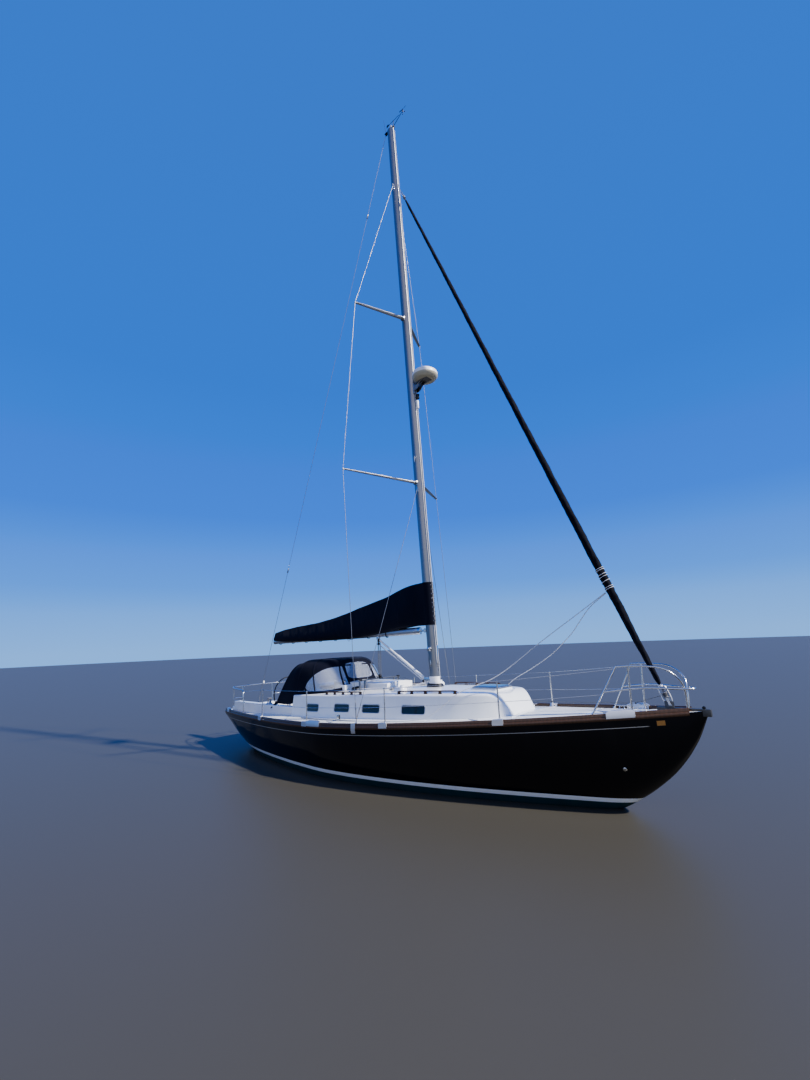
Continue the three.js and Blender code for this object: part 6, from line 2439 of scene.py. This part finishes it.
def make_sliding_hatch():
    made = crowned(Shape(), -2.372, -1.692, 0.328, 1.5805, 0.025, 0.026, 0.03)
    made.piece("sliding_hatch_top", smoked, "smoked", "companionway_hatch", body="companionway_hatch")
    trim = Shape()
    for y in (-0.322, 0.322):
        trim.block((-2.365, y - 0.007, 1.5812), (-1.7, y + 0.007, 1.6065), 0.002)
    grip_at = [(-2.33, -0.14, 1.632), (-2.33, -0.135, 1.652), (-2.33, 0.135, 1.652), (-2.33, 0.14, 1.632)]
    trim.tube(curve_points(grip_at, 6), 0.006, 12)
    trim.piece("sliding_hatch_trim", steel, "stainless", body="companionway_hatch")


def make_sea_hood():
    settle(softened("sea_hood", "sea_hood_moulding", 0.014, white, 4, 35), "gelcoat", "sea_hood")
    boards = Shape()
    zs = [1.1808, 1.3045, 1.4285, 1.5698]
    for low, high in zip(zs, zs[1:]):
        boards.block((-2.344, -0.2985, low), (-2.324, 0.2985, high - 0.0015), 0.003)
    boards.piece("companionway_boards", teak_board, "teak", "washboards")
    pull = Shape().turned(mm(0, 10, 12, 9, 20, 3, 21, 0), (-2.344, 0, 1.5), (-1, 0, 0), 22)
    pull.piece("board_latch", steel)
    runners = Shape()
    for side in (1, -1):
        runners.block((-2.35, side * 0.296 - 0.006, 1.47), (-2.335, side * 0.296 + 0.006, 1.58), 0.001)
    runners.piece("board_channels", steel)


def make_fore_hatch():
    node = "forward_hatch"
    low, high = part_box(node)
    ring = [(0, 1.56), (0, low.z - 0.004), (0.003, low.z - 0.0008), (0.03, low.z - 0.0008), (0.03, 1.56), (0, 1.56)]
    frame_at = lambda a: rounded_rect(low.x + a, high.x - a, 0.28 - a, 0.062 - a)
    base = Shape().loft([[(x, y, z) for x, y in frame_at(a)] for a, z in ring], caps=False)
    base.piece("fore_hatch_coaming", white, "gelcoat", angle=50)
    rows = mm(0, 0, 0, 4, 1, 18, 6, 23, 30, 25)
    outline = lambda inset, z: [
        (x, y, z)
        for x, y in rounded_rect(low.x + 0.002 + inset, high.x - 0.002 - inset, 0.278 - inset, 0.06)
    ]
    made = Shape().loft([outline(inset, low.z + 0.0005 + up) for inset, up in rows])
    for y in (-0.15, 0.15):
        made.block((low.x + 0.002, y - 0.02, low.z + 0.004), (low.x + 0.026, y + 0.02, low.z + 0.028), 0.003)
    for y in (-0.18, 0.18):
        made.block((high.x - 0.05, y - 0.025, low.z + 0.006), (high.x - 0.002, y + 0.025, low.z + 0.0315), 0.005)
    made.piece("fore_hatch_frame", spar_along, "spar", node, body=node)
    lens = Shape().loft(
        [outline(0.034 + a, low.z + b) for a, b in ((0, 0.02), (0.0, 0.0275), (0.003, 0.0305), (0.012, 0.0318))]
    )
    lens.piece("fore_hatch_lens", smoked, "smoked", body=node)


def make_handrails():
    made = Shape()
    for side in (1, -1):
        for x0, x1 in ((-1.23, -0.09), (0.81, 2.1)):
            y = lambda x: side * (roof_at(x)[0] - ROOF_LEAN - 0.06)
            rings = []
            for x in np.linspace(x0, x1, 49):
                end = min(1, (x - x0) / 0.04, (x1 - x) / 0.04)
                base = roof_z(x, y(x))
                high = base + 0.05 - 0.02 * (1 - end) ** 2
                wide, tall = 0.013 * max(0.35, end), 0.012 * max(0.4, end)
                rings.append([(x, y(x) + wide * cos(a), high + tall * sin(a)) for a in around(12)])
            made.loft(rings)
            for x in np.linspace(x0 + 0.05, x1 - 0.05, 5):
                base, corners = roof_z(x, y(x)), ((-1, -1), (1, -1), (1, 1), (-1, 1))
                foot = mm(45, -4, 30, 12, 22, 30, 32, 45)
                made.loft([[(x + a * w, y(x) + b * 0.012, base + h) for a, b in corners] for w, h in foot])
    made.piece("roof_handrails", teak_rail_shade_darkened, "teak")


make_sliding_hatch()
make_sea_hood()
make_fore_hatch()
make_handrails()


# Winches, cleats and other deck fittings
def winch(made, jaws, place, size=1.0):
    drum = mm(0, 0, 73, 0, 75, 4, 75, 14, 70, 20, 55, 26, 50, 36, 46, 60, 46, 85, 52, 100, 60, 104, 60, 108, 40, 109)
    made.turned([(r * size, z * size) for r, z in drum], place, sides=48)
    for k in range(28):
        a = 2 * pi * k / 28
        at = Vector(place) + Vector((0.0462 * size * cos(a), 0.0462 * size * sin(a), 0))
        made.tube([at + Vector((0, 0, 0.045 * size)), at + Vector((0, 0, 0.092 * size))], 0.0018 * size, 5)
    top = mm(0, 108, 50, 109, 60, 112, 62, 118, 60, 124, 50, 128, 58, 132, 60, 138, 45, 144, 20, 146, 19, 136, 0, 136)
    jaws.turned([(r * size, z * size) for r, z in top], place, sides=40 if size == 1 else 32)


def make_winches():
    for side, word in SIDES:
        for drum_name, jaws_name, place, size, nodes in (
            ("winch_drum", "winch_jaws", (-3.55, side * 0.935, 1.1608), 1, [f"winch_{word}"]),
            ("roof_winch", "roof_winch_jaws", (-1.16, side * 0.54, 1.652 + 0.004), 0.72, []),
        ):
            drum, jaws = Shape(), Shape()
            winch(drum, jaws, place, size)
            drum.piece(f"{drum_name}_{word}", steel, "stainless", *nodes, angle=35)
            jaws.piece(f"{jaws_name}_{word}", grey_plastic, angle=35)


def cleat(made, place, along, size=0.11):
    """A two-legged horn cleat."""
    along = Vector(along).normalized()
    place = Vector(place)
    high = size * 0.42
    horn = [
        place + along * (t * size) + Vector((0, 0, high + size * 0.10 * abs(t) ** 2))
        for t in np.linspace(-1, 1, 11)
    ]
    made.tube(horn, [size * 0.03 + size * 0.06 * (1 - abs(t)) ** 0.6 for t in np.linspace(-1, 1, 11)], 12)
    for t in (-0.3, 0.3):
        foot = place + along * (t * size)
        made.turned(
            [(size * 0.16, 0), (size * 0.15, 0.004), (size * 0.07, high * 0.3), (size * 0.065, high)], foot,
            (0, 0, 1), 14,
        )
    made.block(place - Vector((size * 0.5, size * 0.17, 0)), place + Vector((size * 0.5, size * 0.17, 0.005)), 0.002)


def make_cleats():
    """Mooring cleats, and fairleads on the rail at the bow, the waist and the quarters."""
    cleats, leads = Shape(), Shape()
    for side in (1, -1):
        for x, inboard in ((4.5, 0.16), (-5.3, 0.16), (-0.35, 0.13), (2.6, 0.13)):
            cleat(cleats, on_deck(x, inboard, side), (1, 0, 0), 0.12 if x > 4 else 0.1)
        for x0, x1 in ((4.55, 4.91), (-0.92, -0.5), (-5.52, -5.32)):
            rings = []
            for x in np.linspace(x0, x1, 7):
                high = 0.066 if x in (x0, x1) else 0.09
                profile = [
                    (-0.013, -0.02), (-0.015, high - 0.015), (-0.008, high), (0.034, high + 0.003),
                    (0.044, high - 0.02), (0.042, -0.01),
                ]
                rings.append([rail_line(x, side, a, b) for a, b in profile])
            leads.loft(rings)
    cleats.piece("mooring_cleats", steel)
    leads.piece("fairleads", cast, "stainless")


def make_sheet_tracks():
    section = mm(-16, -3, -16, 7, -10, 9, -14, 18, 14, 18, 10, 9, 16, 7, 16, -3)
    tracks, cars, wheels = Shape(), Shape(), Shape()
    for side in (1, -1):
        rings = []
        for x in np.linspace(-1.75, 0.05, 30):
            y = half_beam(x) - 0.42
            z = deck_top(x, y)
            rings.append([(x, side * (y + a), z + b) for a, b in section])
        tracks.loft(rings)
        x = -0.42
        y = half_beam(x) - 0.42
        z = deck_top(x, y)
        cars.block((x - 0.06, side * y - 0.024, z + 0.01), (x + 0.06, side * y + 0.024, z + 0.034), 0.005)
        wheels.turned(
            mm(0, -14, 34, -14, 40, -7, 36, 0, 40, 7, 34, 14, 0, 14), (x, side * y, z + 0.075), (0, 1, 0), 26
        )
        for a in (-0.018, 0.018):
            cars.block(
                (x - 0.03, side * y + a - 0.002, z + 0.03), (x + 0.03, side * y + a + 0.002, z + 0.115), 0.0015
            )
    tracks.piece("sheet_tracks", spar_along)
    cars.piece("sheet_cars", steel)
    wheels.piece("sheet_sheaves", black_plastic)


def make_halyard_tails():
    """Halyards led aft along the roof, through organisers to clutches ahead of the dodger."""
    tails, blocks, clutches = Shape(), Shape(), Shape()
    for side in (1, -1):
        for k in range(3):
            stops = [
                (0.93 - 0.05 * k, side * (0.12 + 0.02 * k)), (0.30, side * (0.42 + 0.05 * k)),
                (-0.72, side * (0.47 + 0.055 * k)),
            ]
            line = []
            for (xa, ya), (xb, yb) in zip(stops, stops[1:]):
                for t in np.linspace(0, 1, 8):
                    x, y = xa + (xb - xa) * t, ya + (yb - ya) * t
                    line.append((x, y, roof_z(x, y) + 0.026 + (0.07 * (1 - t) ** 3 if xa > 0.5 else 0)))
            tails.tube(line, 0.005, 8)
            x, y = -0.78, side * (0.47 + 0.055 * k)
            z = roof_z(x, y)
            clutches.block((x - 0.075, y - 0.021, z - 0.003), (x + 0.075, y + 0.021, z + 0.05), 0.008)
            clutches.block((x - 0.055, y - 0.012, z + 0.045), (x + 0.045, y + 0.012, z + 0.068), 0.006)
            y = side * (0.42 + 0.05 * k)
            blocks.turned(
                mm(0, 12, 18, 12, 22, 18, 18, 30, 22, 38, 18, 42, 0, 42), (0.3, y, roof_z(0.3, y)), (0, 0, 1), 22
            )
        blocks.block(
            (0.255, side * 0.47 - 0.1, roof_z(0.3, 0.47) - 0.002),
            (0.345, side * 0.47 + 0.1, roof_z(0.3, 0.47) + 0.012), 0.004,
        )
    settle(along_map(tails.object("halyard_tails", white_line)), "fittings")
    blocks.piece("deck_organisers", grey_plastic)
    clutches.piece("rope_clutches", black_plastic)


def make_vents_and_lids():
    """Ventilators, filler caps, the anchor locker's lid and the teak deck at the bow."""
    vents, caps = Shape(), Shape()
    for side in (1, -1):
        y = side * 0.62
        at = Vector((0.62, y, roof_z(0.62, y)))
        vents.loft(
            [
                rounded_ring(at.x, at.y, at.z + z, a, b, 4)
                for z, a, b in ((-0.01, 0.13, 0.09), (0.05, 0.125, 0.085), (0.07, 0.11, 0.075), (0.075, 0.09, 0.06))
            ]
        )
        vents.turned(mm(45, 70, 45, 100, 42, 110, 0, 112), at + Vector((0.05, 0, 0)), sides=26)
        for x in (1.15, -2.1):
            caps.turned(mm(0, 6, 20, 6, 30, 4, 34, 0), on_deck(x, 0.22, side), sides=24)
    vents.piece("roof_vents", white, "gelcoat")
    caps.piece("filler_caps", steel)
    ends = (4.98, 5.32)
    rows = [(x, min(0.2, half_beam(x) - 0.1) * (0.9 if x in ends else 1)) for x in np.linspace(*ends, 9)]
    deck_slab(rows, 0.008, 0.012, 8).piece("anchor_locker_lid", grip, "gelcoat")
    rows = [(x, max(half_beam(x) - 0.05, 0.02)) for x in np.linspace(5.33, 5.69, 10)]
    deck_slab(rows, 0.02, 0.024, 6).piece("bow_deck_teak", teak_rail_shade_darkened, "teak")


make_winches()
make_cleats()
make_sheet_tracks()
make_halyard_tails()
make_vents_and_lids()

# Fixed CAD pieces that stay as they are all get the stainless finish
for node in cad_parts.values():
    if not node.hide_render:
        node.data.materials.clear()
        node.data.materials.append(steel)
